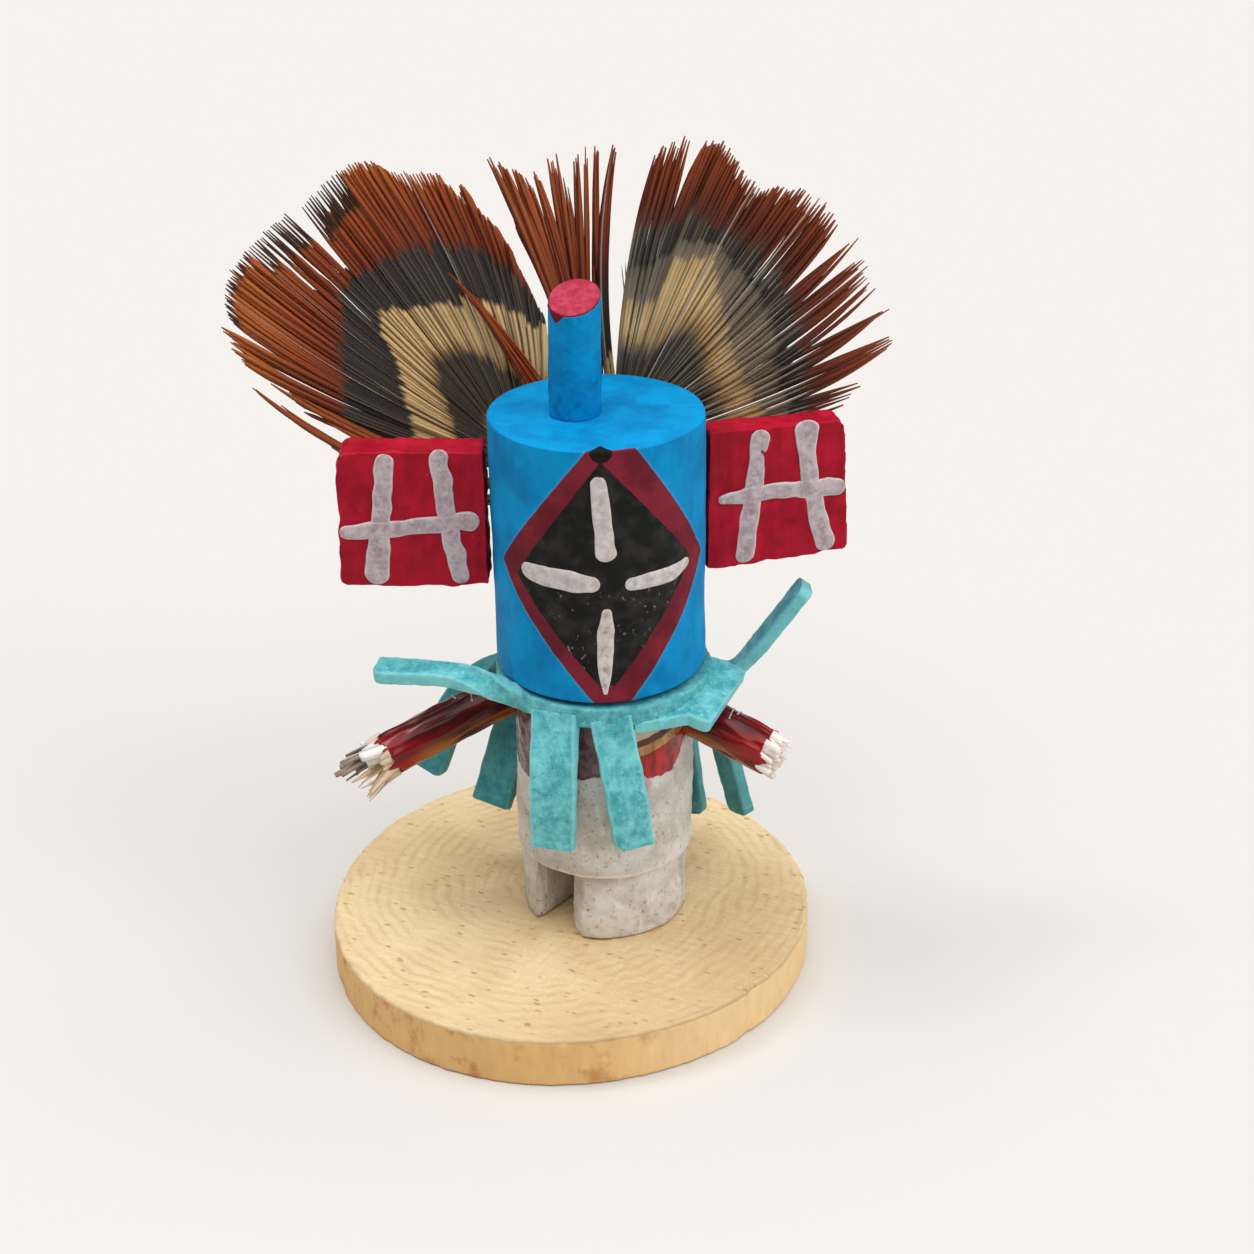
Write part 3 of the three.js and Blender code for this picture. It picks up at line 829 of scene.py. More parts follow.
def white_paint():
    """Thick chalky white, thinner and greyer in its middle, stained pink where it is marked so."""
    g = Graph("white_paint")
    edge = g.value("edge")
    tone = g.value("tone")
    mottle = g.noise(0.9, detail=5.0, roughness=0.65)
    white = g.mix(g.step(mottle, 0.36, 0.62), srgb(190, 181, 178), srgb(214, 207, 203))
    thin = g.step(edge, 0.75, 0.1) * g.step(g.noise(0.7), 0.42, 0.66)
    stain = g.mix(tone, srgb(150, 138, 142), srgb(150, 108, 132))
    colour = g.mix(thin * (0.35 + tone * 0.5), white, stain)
    speck = g.step(g.cells(0.8), 0.12, 0.05)
    colour = g.mix(speck * 0.3, colour, srgb(110, 96, 104))
    return g.finish(colour, 0.6, g.noise(0.4, detail=4.0), relief=0.04, Specular_IOR_Level=0.3)


# ---------------------------------------------------------------- horn

HORN_COLUMNS = 120
HORN_TALL = 10.0
HORN_SLANT_BACK = math.radians(22)
HORN_SLANT_SIDE = math.radians(7)
HORN_SUNK = 0.35
HORN_EDGE = 0.1


def horn():
    turn = full_turn(HORN_COLUMNS)
    foot = HORN_LOW[2] - HORN_SUNK

    def slanted_top(x, y):
        return HORN_LOW[2] + HORN_TALL + y * math.tan(HORN_SLANT_BACK) + x * math.tan(HORN_SLANT_SIDE)

    rings = []
    below = []
    for share in np.linspace(0, 1, 60):
        x = HORN_RADIUS * np.cos(turn)
        y = HORN_RADIUS * np.sin(turn)
        top = slanted_top(x, y)
        height = foot + (top - foot) * share
        edge = HORN_EDGE * smoothstep(share, 0.985, 1.0)
        rings.append(np.stack([x * (1 - edge / HORN_RADIUS), y * (1 - edge / HORN_RADIUS), height], -1))
        below.append(top - height)
    for share in np.linspace(0.94, 0.02, 24):
        x = HORN_RADIUS * share * np.cos(turn)
        y = HORN_RADIUS * share * np.sin(turn)
        rings.append(np.stack([x, y, slanted_top(x, y) + 0.02], -1))
        below.append(np.full(HORN_COLUMNS, -1.0))
    points = np.array(rings)
    bumps = 0.025 * waves(points * [1, 1, 0.5], 2.2, 41) + 0.012 * waves(points, 0.7, 42)
    lean = 1 + bumps / HORN_RADIUS
    points = points * np.stack([lean, lean, np.ones_like(lean)], -1) + [HORN_X, HORN_Y, 0]
    shape = Shape()
    shape.tube(points, below=np.array(below))
    add_piece("horn_wood", shape, [horn_material()], ["horn"])


def horn_material():
    g = Graph("painted_horn")
    blue, brush, _ = blue_paint(g)
    x, y, z = g.parts(g.vector("SUBTRACT", g.place, (float(HORN_X), float(HORN_Y), 0.0)))
    smudge = g.step(g.noise(1.3), 0.52, 0.66)
    lower = g.step(z, HORN_LOW[2] + 7.5, HORN_LOW[2] + 4.0)
    blue = g.mix(smudge * lower * 0.4, blue, srgb(0, 88, 142))
    below = g.value("below")
    angle = g.math("ARCTAN2", x, y * -1.0)
    near_drip = g.step(abs(angle + 0.75), 0.42, 0.0)
    reach = 0.1 + near_drip * 0.75 + (g.noise(0.5) - 0.5) * 0.2
    is_drip = g.step(below - reach, 0.03, -0.03)
    is_cap = g.step(below, -0.1, -0.5)
    red = g.mix(g.step(g.noise(0.8, detail=4.0), 0.38, 0.66), srgb(166, 44, 66), srgb(188, 66, 88))
    red = g.mix(g.step(g.cells(0.7), 0.16, 0.06) * 0.35, red, srgb(140, 26, 46))
    colour = g.mix(is_drip, blue, srgb(104, 22, 42))
    colour = g.mix(is_cap, colour, red)
    return g.finish(colour, 0.65, brush, relief=0.03, Specular_IOR_Level=0.1)


# ---------------------------------------------------------------- side tablets

WING_CORNER = 0.9
WING_SHARP_CORNER = 0.12
WING_VOXEL = 0.14
RIGHT_WING_TURN = math.radians(14)
LEFT_WING = {
    "corners": [(-7.0, 51.65), (-6.85, 38.8), (-20.1, 38.7), (-19.85, 51.5)],
    "strokes": [
        ([(-15.55, 51.5), (-16.18, 45.26), (-16.95, 38.95)], [1.75, 1.7, 1.85, 2.15, 2.1]),
        ([(-10.95, 51.9), (-10.29, 45.06), (-9.2, 39.05)], [1.6, 1.75, 1.6, 1.8, 1.45]),
        ([(-19.95, 43.95), (-13.66, 44.58), (-7.5, 45.2)], [1.3, 1.6, 1.45, 1.6, 1.9]),
    ],
}
RIGHT_WING = {
    "corners": [(0.0, 52.5), (0.0, 39.2), (13.5, 39.9), (12.5, 52.55)],
    "strokes": [
        ([(4.7, 52.4), (4.1, 46.4), (3.4, 39.6)], [1.75, 1.6, 1.75, 1.7, 2.0]),
        ([(8.75, 52.9), (9.5, 46.8), (11.3, 40.05)], [2.6, 1.5, 1.8, 1.8, 2.1]),
        ([(0.85, 46.0), (6.64, 46.4), (12.8, 46.15)], [0.7, 1.6, 1.5, 1.75, 1.8]),
    ],
}


def rounded_outline(corners, radius):
    """A closed outline through the corners with the last two rounded."""
    corners = [np.array(c, float) for c in corners]
    outline = []
    for i, corner in enumerate(corners):
        size = radius if i >= 2 else WING_SHARP_CORNER
        before = corner + unit(corners[i - 1] - corner) * size
        after = corner + unit(corners[(i + 1) % len(corners)] - corner) * size
        for t in np.linspace(0, 1, 7):
            outline.append(before * (1 - t) ** 2 + corner * 2 * t * (1 - t) + after * t**2)
    return np.array(outline)


def tablet_place(origin, turn):
    """Turns (along, height, lift off the front) into a point, for a tablet that stands at an angle."""
    cos, sin = math.cos(turn), math.sin(turn)

    def place(along, height, lift):
        along, height, lift = np.broadcast_arrays(along, height, lift)
        x = origin[0] + along * cos + lift * sin
        y = origin[1] + along * sin - lift * cos
        return np.stack([x, y, height], -1)

    return place


def tablet(name, node, spec, place, thickness, seed, red, white):
    outline = rounded_outline(spec["corners"], WING_CORNER)
    area = np.sum(outline[:, 0] * np.roll(outline[:, 1], -1) - outline[:, 1] * np.roll(outline[:, 0], -1))
    if area < 0:
        outline = outline[::-1]
    draft = Shape()
    prism(draft, outline, -thickness, 0.0)
    points, normals, quads = fine_solid(draft, WING_VOXEL, 3)
    flat = 0.028 * waves(points * [1.0, 0.35, 1.0], 1.5, seed) + 0.05 * waves(points, 4.5, seed + 1)
    edge_wander = 0.05 * waves(points, 2.0, seed + 2) * (1 - np.abs(normals[:, 2]))
    points = points + normals * (flat + edge_wander - 0.05)[:, None]
    shape = Shape()
    shape.add(place(points[:, 0], points[:, 1], points[:, 2]), [quads])
    add_piece(name, shape, [red], [node])
    strokes = Shape()
    for number, (path, widths) in enumerate(spec["strokes"]):
        lift = 0.16 + 0.03 * number
        brush_stroke(strokes, place, path, widths, lift, seed + 10 * number, 0.3, 0.06, 90)
    add_piece(name + "_strokes", strokes, [white])


def side_tablets():
    red = red_paint()
    white = wing_white()
    low, high = node_box("wing_left")
    place = tablet_place((0.0, low[1]), 0.0)
    tablet("wing_left_wood", "wing_left", LEFT_WING, place, high[1] - low[1], 510, red, white)
    low, high = node_box("wing_right")
    along = max(corner[0] for corner in RIGHT_WING["corners"]) * math.sin(RIGHT_WING_TURN)
    thickness = (high[1] - low[1] - along) / math.cos(RIGHT_WING_TURN)
    origin = (low[0] + thickness * math.sin(RIGHT_WING_TURN), low[1])
    place = tablet_place(origin, RIGHT_WING_TURN)
    tablet("wing_right_wood", "wing_right", RIGHT_WING, place, thickness, 560, red, white)


def red_paint():
    g = Graph("red_paint")
    brush = g.noise(0.6, detail=4.0, roughness=0.6, vector=g.stretch(1.0, 1.0, 0.25))
    clouds = g.noise(2.6, detail=4.0, roughness=0.6)
    colour = g.mix(g.step(clouds, 0.34, 0.66), srgb(150, 6, 32), srgb(178, 14, 44))
    colour = g.tint(colour, brush, 0.88, 1.12)
    dark = g.step(g.noise(1.2, detail=5.0, roughness=0.7), 0.6, 0.72)
    colour = g.mix(dark * 0.5, colour, srgb(96, 4, 26))
    fleck = g.step(g.cells(1.5), 0.06, 0.02)
    colour = g.mix(fleck * 0.5, colour, srgb(226, 120, 130))
    return g.finish(colour, 0.55, brush + clouds, relief=0.06, Specular_IOR_Level=0.15)


def wing_white():
    """White laid over wet red: pinkish grey, thin enough in places for the red to stain it."""
    g = Graph("wing_white")
    edge = g.value("edge")
    mottle = g.noise(1.0, detail=5.0, roughness=0.7)
    colour = g.mix(g.step(mottle, 0.36, 0.62), srgb(164, 148, 152), srgb(196, 184, 186))
    thin = g.step(edge, 0.8, 0.2) * g.step(g.noise(0.8, detail=4.0, roughness=0.65), 0.48, 0.66)
    colour = g.mix(thin * 0.6, colour, srgb(158, 112, 124))
    rim = g.step(edge, 0.72, 0.95)
    colour = g.mix(rim * 0.55, colour, srgb(226, 217, 216))
    return g.finish(colour, 0.55, g.noise(0.45, detail=4.0), relief=0.06, Specular_IOR_Level=0.35)


# ---------------------------------------------------------------- arms

ARM_RADIUS = 2.1
TWIG_COLUMNS = 96
PAST_THE_END = 9.0
ARMS = {
    "arm_left": {"end": (-17.0, -1.5, 21.3), "aim": (-0.88, -0.306, -0.362), "inside": 12.6},
    "arm_right": {"end": (18.6, -5.9, 24.1), "aim": (0.842, -0.486, -0.235), "inside": 9.4},
}


def arm_frame(spec):
    along = unit(spec["aim"])
    across = unit(np.cross([0, 0, 1], along))
    up = np.cross(along, across)
    return np.array(spec["end"], float), along, across, up


def twig(shape, spec, seed):
    """The lacquered length: lengthwise flutes, a bevelled ragged end, its root against the body."""
    end, along, across, up = arm_frame(spec)
    ring = on_circle(full_turn(TWIG_COLUMNS))
    bark = ring * ARM_RADIUS
    ragged = 0.35 * waves(bark, 2.6, seed) + 0.22 * waves(bark, 0.8, seed + 1)
    flutes = 0.03 * waves(bark, 1.3, seed + 2) + 0.01 * waves(bark, 0.45, seed + 3)

    def place(distance, radius):
        outwards = across * ring[:, :1] + up * ring[:, 1:]
        return end + along * distance[:, None] + outwards * radius[:, None]

    rings = []
    travel = []
    for share in np.linspace(0, 1, 90):
        distance = -spec["inside"] * (1 - share) + ragged * share**6 - 0.15
        swelling = 0.04 * waves(np.column_stack([bark, distance * 0.35]), 1.2, seed + 4)
        radius = ARM_RADIUS * 0.985 + flutes + swelling
        radius = radius - 0.16 * smoothstep(share, 0.985, 1.0)
        rings.append(place(distance, radius))
        travel.append(distance)
    for step, (radius, back) in enumerate([(0.9, 0.0), (0.72, -0.25), (0.3, -0.4)]):
        distance = ragged * (1 - step * 0.4) + back - 0.15
        rings.append(place(distance, np.full(TWIG_COLUMNS, ARM_RADIUS * radius)))
        travel.append(np.full(TWIG_COLUMNS, PAST_THE_END))
    height = np.broadcast_to(ring[:, 1], (len(rings), TWIG_COLUMNS))
    side = np.broadcast_to(ring[:, 0], (len(rings), TWIG_COLUMNS))
    shape.tube(np.array(rings), 0, travel=np.array(travel), height=height, side=side, tone=0.0)


def sliver(shape, start, direction, length, width, thickness, tone, kind, seed, blunt):
    """One torn fibre of wood: a flat wedge that thins and bends a little towards its tip."""
    rng = np.random.default_rng(seed)
    direction = unit(direction)
    flat = unit(np.cross(direction, rng.normal(size=3)))
    normal = np.cross(direction, flat)
    bend = rng.normal(size=3) * 0.08 * length
    rings = []
    for t in np.linspace(0, 1, 7):
        taper = 1 - (1 - blunt) * t**1.5
        centre = start + direction * length * t + bend * t * t
        half = width / 2 * taper
        thick = thickness / 2 * taper
        rings.append([centre + flat * half, centre + normal * thick,
                      centre - flat * half, centre - normal * thick])
    shape.tube(np.array(rings), kind, tone=tone)


def splinters(shape, spec, seed, groups):
    """Bundles of torn fibres at the broken end."""
    end, along, across, up = arm_frame(spec)
    rng = np.random.default_rng(seed)
    for number, (count, at, spread, lean, fan, length, width, thick, tone, blunt) in enumerate(groups):
        for i in range(count):
            place = np.array(at) + rng.normal(size=2) * spread
            place = place / max(1.0, np.linalg.norm(place) / 0.86)
            start = end - along * 0.5 + (across * place[0] + up * place[1]) * ARM_RADIUS
            sideways, upwards = np.array(lean) + rng.normal(size=2) * fan
            direction = along + across * sideways + up * upwards
            own_length = length * rng.uniform(0.68, 1.0) + 0.5
            own_width = width * rng.uniform(0.7, 1.25)
            own_tone = tone + rng.uniform(-0.08, 0.08)
            own_seed = seed + 40 * number + i
            sliver(shape, start, direction, own_length, own_width, thick, own_tone, 1, own_seed, blunt)


# Bundles: how many, where they start, how far they stray there, their lean and how far it strays, and
# the slivers' length, width, thickness, tone and bluntness.
LEFT_SPLINTERS = [
    (26, (0.1, 0.1), 0.45, (0.0, 0.0), 0.08, 0.9, 0.95, 0.6, 0.75, 0.8),
    (13, (-0.4, 0.0), 0.28, (-0.14, -0.04), 0.09, 4.4, 1.0, 0.28, 0.3, 0.5),
    (16, (0.05, 0.45), 0.26, (0.0, 0.06), 0.05, 2.2, 1.4, 0.7, 1.0, 0.8),
    (9, (0.35, -0.3), 0.26, (0.1, -0.24), 0.08, 4.0, 0.95, 0.35, 0.58, 0.12),
    (7, (0.2, -0.5), 0.24, (0.1, -0.2), 0.12, 3.6, 0.35, 0.16, 0.55, 0.2),
]
RIGHT_SPLINTERS = [
    (46, (0.0, 0.0), 0.46, (0.0, 0.0), 0.08, 0.95, 1.15, 0.8, 0.88, 0.85),
    (16, (-0.1, 0.2), 0.4, (0.0, 0.0), 0.12, 1.3, 0.7, 0.4, 0.95, 0.6),
    (8, (-0.4, 0.6), 0.25, (-0.1, 0.02), 0.16, 2.0, 0.25, 0.14, 0.95, 0.3),
]


def arms():
    materials = [lacquer(), torn_wood()]
    for seed, (node, groups) in enumerate([("arm_left", LEFT_SPLINTERS), ("arm_right", RIGHT_SPLINTERS)]):
        shape = Shape()
        twig(shape, ARMS[node], 610 + 50 * seed)
        splinters(shape, ARMS[node], 630 + 50 * seed, groups)
        add_piece(node + "_twig", shape, materials, [node])


def lacquer():
    """Glossy dark red lacquer over a twig, amber where the bark shows, with bare scraped patches."""
    g = Graph("lacquered_twig")
    travel = g.value("travel")
    height = g.value("height")
    side = g.value("side")
    length_wise = g.join(side * ARM_RADIUS, height * ARM_RADIUS, travel * 0.16)
    streak = g.noise(0.9, vector=length_wise)
    broad = g.noise(1.9, detail=2.0, vector=length_wise)
    red = g.mix(g.step(streak, 0.36, 0.66), srgb(66, 10, 10), srgb(108, 12, 14))
    bright = g.step(travel, -6.0, -0.4)
    red = g.mix(bright * g.step(broad, 0.34, 0.6), red, srgb(156, 12, 20))
    amber = g.step(height, 0.25, -0.45) * g.step(broad + streak * 0.5, 0.62, 0.8)
    amber = amber * g.step(travel, -1.0, -4.0)
    red = g.mix(amber * 0.85, red, srgb(176, 104, 36))
    line = g.step(g.noise(0.3, detail=2.0, vector=length_wise), 0.62, 0.72)
    red = g.mix(line * 0.25, red, srgb(36, 6, 8))
    scraped = g.step(height, 0.35, 0.75) * g.step(g.noise(0.9, detail=2.0, vector=length_wise), 0.66, 0.7)
    scraped = scraped * g.step(travel, -5.5, -3.5)
    red = g.mix(scraped * 0.7, red, srgb(142, 96, 84))
    is_cut = g.step(travel, 4.0, 6.0)
    red = g.mix(is_cut, red, srgb(226, 204, 176))
    roughness = 0.26 + g.math("MAXIMUM", scraped, is_cut) * 0.45
    return g.finish(red, roughness, streak, relief=0.02, Specular_IOR_Level=0.3,
                    Coat_Weight=0.05, Coat_Roughness=0.2)


def torn_wood():
    g = Graph("torn_wood")
    tone = g.value("tone")
    fibre = g.noise(0.25, vector=g.stretch(0.5, 1.0, 1.0))
    shades = [(0.0, srgb(136, 116, 104)), (0.35, srgb(172, 152, 138)), (0.6, srgb(220, 192, 150)),
              (0.85, srgb(244, 228, 214)), (1.0, srgb(255, 252, 248))]
    colour = g.ramp(tone, shades)
    colour = g.tint(colour, fibre, 0.8, 1.15)
    return g.finish(colour, 0.8, fibre, relief=0.06, Specular_IOR_Level=0.2)


# ---------------------------------------------------------------- leather collar

LEATHER = 1.25
BAND_INNER = BODY_RADIUS - 0.1
BAND_OUTER = BODY_RADIUS + 0.3 + LEATHER
BAND_BOTTOM = 28.75
BAND_TOP = 30.6


def strap(azimuth, middle, tip, widths, face, corners, start=None, turned_by=0.6):
    """A strip of the fringe: where it leaves the band, its path, its widths at foot and tip, the way its
    flat face looks, how its two tip corners are cut, and by what share of its length it has turned so.
    """
    return {"azimuth": azimuth, "start": start, "middle": middle, "tip": tip, "widths": widths,
            "face": face, "corners": corners, "turned_by": turned_by}


STRIPS = [
    strap(-50, (-9.6, -5.0, 31.6), (-17.2, -3.2, 31.3), (2.0, 2.9), (0, -0.1, 1), (0.9, 0.2)),
    strap(-27, (-1.1, -9.7, 23.5), (-1.2, -9.5, 16.5), (4.4, 4.0), (-0.2, -1, 0), (0.2, 0.2)),
    strap(4, (5.4, -9.8, 22.0), (6.1, -9.5, 16.6), (3.7, 3.7), (0.2, -1, 0), (0.15, 1.3)),
    strap(60, (11.2, -2.9, 29.3), (14.5, -4.2, 28.5), (10.4, 9.4), (0.15, -0.14, 1), (0.2, 0.5),
          start=(5.2, -3.9, 29.3), turned_by=0.001),
    strap(100, (15.9, 3.2, 28.3), (22.0, 3.3, 36.7), (2.4, 3.0), (-0.75, 0, 0.66), (0.9, 0.9),
          start=(12.2, 1.0, 28.3)),
    strap(-146, (-5.3, 6.2, 20.7), (-7.7, 3.6, 13.0), (3.8, 3.8), (-0.4, -1, 0.1), (0.2, 0.2)),
    strap(-115, (-10.3, 6.4, 23.6), (-13.9, 5.4, 15.8), (2.6, 3.4), (-0.4, -1, 0.2), (0.8, 0.2),
          start=(-5.2, 4.9, 28.8)),
    strap(-166, (-1.6, 10.2, 20.5), (-3.8, 8.6, 10.4), (3.3, 3.3), (-0.2, 1, 0.1), (0.4, 0.4)),
    strap(146, (10.4, 9.3, 19.5), (11.8, 7.6, 9.6), (3.3, 3.3), (0.5, 1, 0.1), (0.5, 0.5)),
    strap(118, (14.0, 5.6, 21.5), (16.7, 4.4, 11.6), (3.0, 3.0), (0.9, 0.6, 0.1), (0.6, 0.6)),
    strap(171, (5.2, 11.4, 20.5), (5.0, 11.8, 12.6), (3.4, 3.4), (0, 1, 0.1), (0.4, 0.4)),
]
FRAYS = [
    ((-4.3, 5.2, 17.2), (-0.28, -0.3, -1), 5.2),
    ((-4.7, 5.0, 16.0), (-0.16, -0.3, -1), 3.6),
    ((-5.0, 4.8, 15.4), (-0.05, -0.3, -1), 2.9),
]
STRIP_STATIONS = 80
STRIP_EDGE = 0.2


def strap_section(half_width, half_thick):
    """A flat strap's outline with softened corners, as (across, through, nearness to a cut edge)."""
    r = STRIP_EDGE
    arc = np.linspace(0, math.pi / 2, 4)[1:-1]
    half = [(a * (half_width - r), half_thick, a) for a in np.linspace(-1, 1, 20)]
    half += [(half_width - r + r * math.sin(b), half_thick - r + r * math.cos(b), 1) for b in arc]
    half += [(half_width, a * (half_thick - r), 1) for a in np.linspace(1, -1, 5)]
    half += [(half_width - r + r * math.cos(b), -half_thick + r - r * math.sin(b), 1) for b in arc]
    return np.array(half + [(-across, -through, edge) for across, through, edge in half])


def strip(shape, spec, seed):
    azimuth = math.radians(spec["azimuth"])
    outwards = np.array([math.sin(azimuth), -math.cos(azimuth), 0])
    on_band = np.array([BODY_X, BODY_Y, BAND_BOTTOM + 0.9]) + outwards * (BODY_RADIUS + 0.3 + LEATHER / 2)
    path = curve_through([spec["start"] or on_band, spec["middle"], spec["tip"]], 400)
    total = distances_along(path)[-1]
    share = np.concatenate([np.linspace(0, 1 - 0.9 / total, STRIP_STATIONS)[:-1],
                            1 - 0.9 / total * (1 - np.sin(np.linspace(0, math.pi / 2, 12)))])
    centre = places_along(path, share * total)
    along = unit(np.gradient(centre, axis=0))
    turn = smoothstep(share, 0, spec["turned_by"])[:, None]
    side = outwards * (1 - turn) + np.array(spec["face"], float) * turn
    wide = unit(np.cross(along, side))
    normal = unit(np.cross(wide, along))
    foot_width, tip_width = spec["widths"]
    travel = share[:, None] * total
    half = (foot_width + (tip_width - foot_width) * share) / 2
    half = half + 0.022 * waves(travel, 4.5, seed) + 0.004 * waves(travel, 0.9, seed + 1)
    to_tip = total * (1 - share)
    inset = [corner * (1 - rounded(to_tip, corner)) for corner in spec["corners"]]
    thick = LEATHER / 2 * (0.82 + 0.18 * rounded(to_tip, STRIP_EDGE))
    rings = []
    rim = []
    for i in range(len(share)):
        section = strap_section(half[i], thick[i])
        from_low = (section[:, 0] / half[i] + 1) / 2
        section[:, 0] += inset[0][i] * (1 - from_low) - inset[1][i] * from_low
        rings.append(centre[i] + wide[i] * section[:, :1] + normal[i] * section[:, 1:2])
        on_edge = half[i] * (1 - np.abs(section[:, 2]))
        rim.append(np.minimum(on_edge, to_tip[i]))
    points = np.array(rings)
    ups = np.broadcast_to(normal[:, None], points.shape)
    facing = np.sign(np.einsum("ijk,ijk->ij", points - centre[:, None], ups))
    grain = 0.014 * waves(points, 1.9, seed + 2) + 0.01 * waves(points, 0.75, seed + 3)
    grain = grain + 0.006 * waves(points, 0.35, seed + 4)
    points = points + ups * (grain * facing)[..., None]
    # Painted shade: strips that hang behind the body and end low are darkened as a whole.
    shade = 1.0 if centre[-1][1] > 1.0 and centre[-1][2] < 28 else 0.0
    shape.tube(points, 0, rim=np.array(rim), dark=shade)


def collar():
    shape = Shape()
    columns = 260
    turn = full_turn(columns)
    ring = np.stack([np.sin(turn), -np.cos(turn)], -1)
    section = strap_section((BAND_TOP - BAND_BOTTOM) / 2, (BAND_OUTER - BAND_INNER) / 2)
    rings = []
    for i in range(columns):
        on_band = ring[i] * BAND_OUTER
        ragged = 0.1 * waves(on_band, 4.0, 70) + 0.04 * waves(on_band, 1.2, 71)
        radius = (BAND_OUTER + BAND_INNER) / 2 + section[:, 1] * (1 + 0.18 * ragged)
        height = (BAND_TOP + BAND_BOTTOM) / 2 + section[:, 0] * (1 + 0.3 * ragged)
        x = BODY_X + ring[i, 0] * radius
        y = BODY_Y + ring[i, 1] * radius
        rings.append(np.column_stack([x, y, height]))
    points = np.array(rings)
    grain = 0.025 * waves(points, 1.5, 72) + 0.012 * waves(points, 0.6, 73)
    points[..., :2] += ring[:, None] * grain[..., None]
    corners = points.shape[1]
    rows = grid_faces(columns, corners, wrap=True)
    first = np.arange(corners)
    second = np.roll(first, -1)
    last = (columns - 1) * corners
    seam = np.stack([last + first, last + second, second, first], -1)
    # The band gets some painted shade all round, for the shade under the head's edge.
    shape.add(points, [rows[:, ::-1], seam[:, ::-1]], 0, rim=1.0, dark=0.35)
    for seed, spec in enumerate(STRIPS):
        strip(shape, spec, 720 + 10 * seed)
    for seed, (start, direction, length) in enumerate(FRAYS):
        sliver(shape, np.array(start), direction, length, 0.5, 0.16, 0.0, 0, 890 + seed, blunt=0.2)
    add_piece("leather_collar_strips", shape, [leather()], ["leather_collar"])


def leather():
    g = Graph("turquoise_leather")
    grain = g.noise(0.42, detail=5.0, roughness=0.65)
    mottle = g.noise(1.7, detail=5.0, roughness=0.7)
    colour = g.mix(g.step(mottle, 0.34, 0.66), srgb(66, 164, 174), srgb(120, 208, 212))
    colour = g.tint(colour, grain, 0.8, 1.18)
    crease = g.step(g.noise(0.8, detail=5.0, roughness=0.6, distortion=0.6), 0.6, 0.7)
    colour = g.mix(crease * 0.45, colour, srgb(24, 108, 122))
    rubbed = g.step(g.noise(0.6, detail=5.0, roughness=0.75), 0.57, 0.68)
    colour = g.mix(rubbed * 0.55, colour, srgb(178, 234, 238))
    rim = g.value("rim")
    edge = g.step(rim + (grain - 0.5) * 0.2, 0.16, 0.02)
    colour = g.mix(edge * 0.5, colour, srgb(140, 214, 216))
    # Painted shade: the dark value darkens the shaded strips and the band towards deep teal.
    colour = g.mix(g.value("dark") * 0.55, colour, srgb(20, 96, 102))
    height = grain * 0.6 + mottle * 0.4 - crease * 0.3
    return g.finish(colour, 0.5, height, relief=0.1, Specular_IOR_Level=0.25)


# ---------------------------------------------------------------- feathers

BARB_RINGS = 24
BARB_WIDTH = 0.48
BARB_THICKNESS = 0.05
RAGGED = 0.25
TIP_TAPER = 1.0
WIDEST_LEAN = 1.7
FULL_BOW = 0.35
START_SPREAD = 0.35
ZONES = 6.0
PAST_BORDERS = 20.0


def zone_reader(root, borders):
    """Returns a function giving each point's place among the colour borders.

    A border is a row of (x, z) points around the root. The value is 1 on the first, 2 on the second
    and so on, and slides evenly between them.
    """
    tables = []
    for border in borders:
        offsets = np.array(border, float) - root
        angle = np.arctan2(offsets[:, 0], offsets[:, 1])
        order = np.argsort(angle)
        tables.append((angle[order], np.linalg.norm(offsets, axis=1)[order]))

    def read(x, z, scatter):
        angle = np.arctan2(x - root[0], z - root[1])
        radius = np.hypot(x - root[0], z - root[1]) + scatter
        limits = [np.zeros_like(radius)] + [np.interp(angle, *table) for table in tables]
        value = np.zeros_like(radius)
        for low, high in zip(limits, limits[1:]):
            value += np.clip((radius - low) / np.maximum(high - low, 0.05), 0, 1)
        return value + np.clip((radius - limits[-1]) / PAST_BORDERS, 0, 0.99)

    return read


def turned(points, pivot, angle):
    """Points of the vane's plane turned about a pivot, from upwards towards +x."""
    x, z = (points - pivot).T
    cos, sin = np.cos(angle), np.sin(angle)
    return pivot + np.stack([x * cos + z * sin, z * cos - x * sin], -1)


def partings(spec):
    """For each main clump, its span of directions and the wider one that meets its neighbours' lower down."""
    root = np.array(spec["root"], float)
    spans = []
    for number, clump in enumerate(spec["clumps"]):
        if "forward" in clump or "start" in clump or clump["count"] < 4:
            continue
        ends = np.array([clump["tips"][0], clump["tips"][-1]]) - root
        low, high = sorted(np.arctan2(ends[:, 0], ends[:, 1]))
        spans.append((low, high, number))
    spans.sort()
    meeting = [(a[1] + b[0]) / 2 for a, b in zip(spans, spans[1:])]
    lows = [spans[0][0]] + meeting
    highs = meeting + [spans[-1][1]]
    return {number: ((low, high), (rest_low, rest_high))
            for (low, high, number), rest_low, rest_high in zip(spans, lows, highs)}


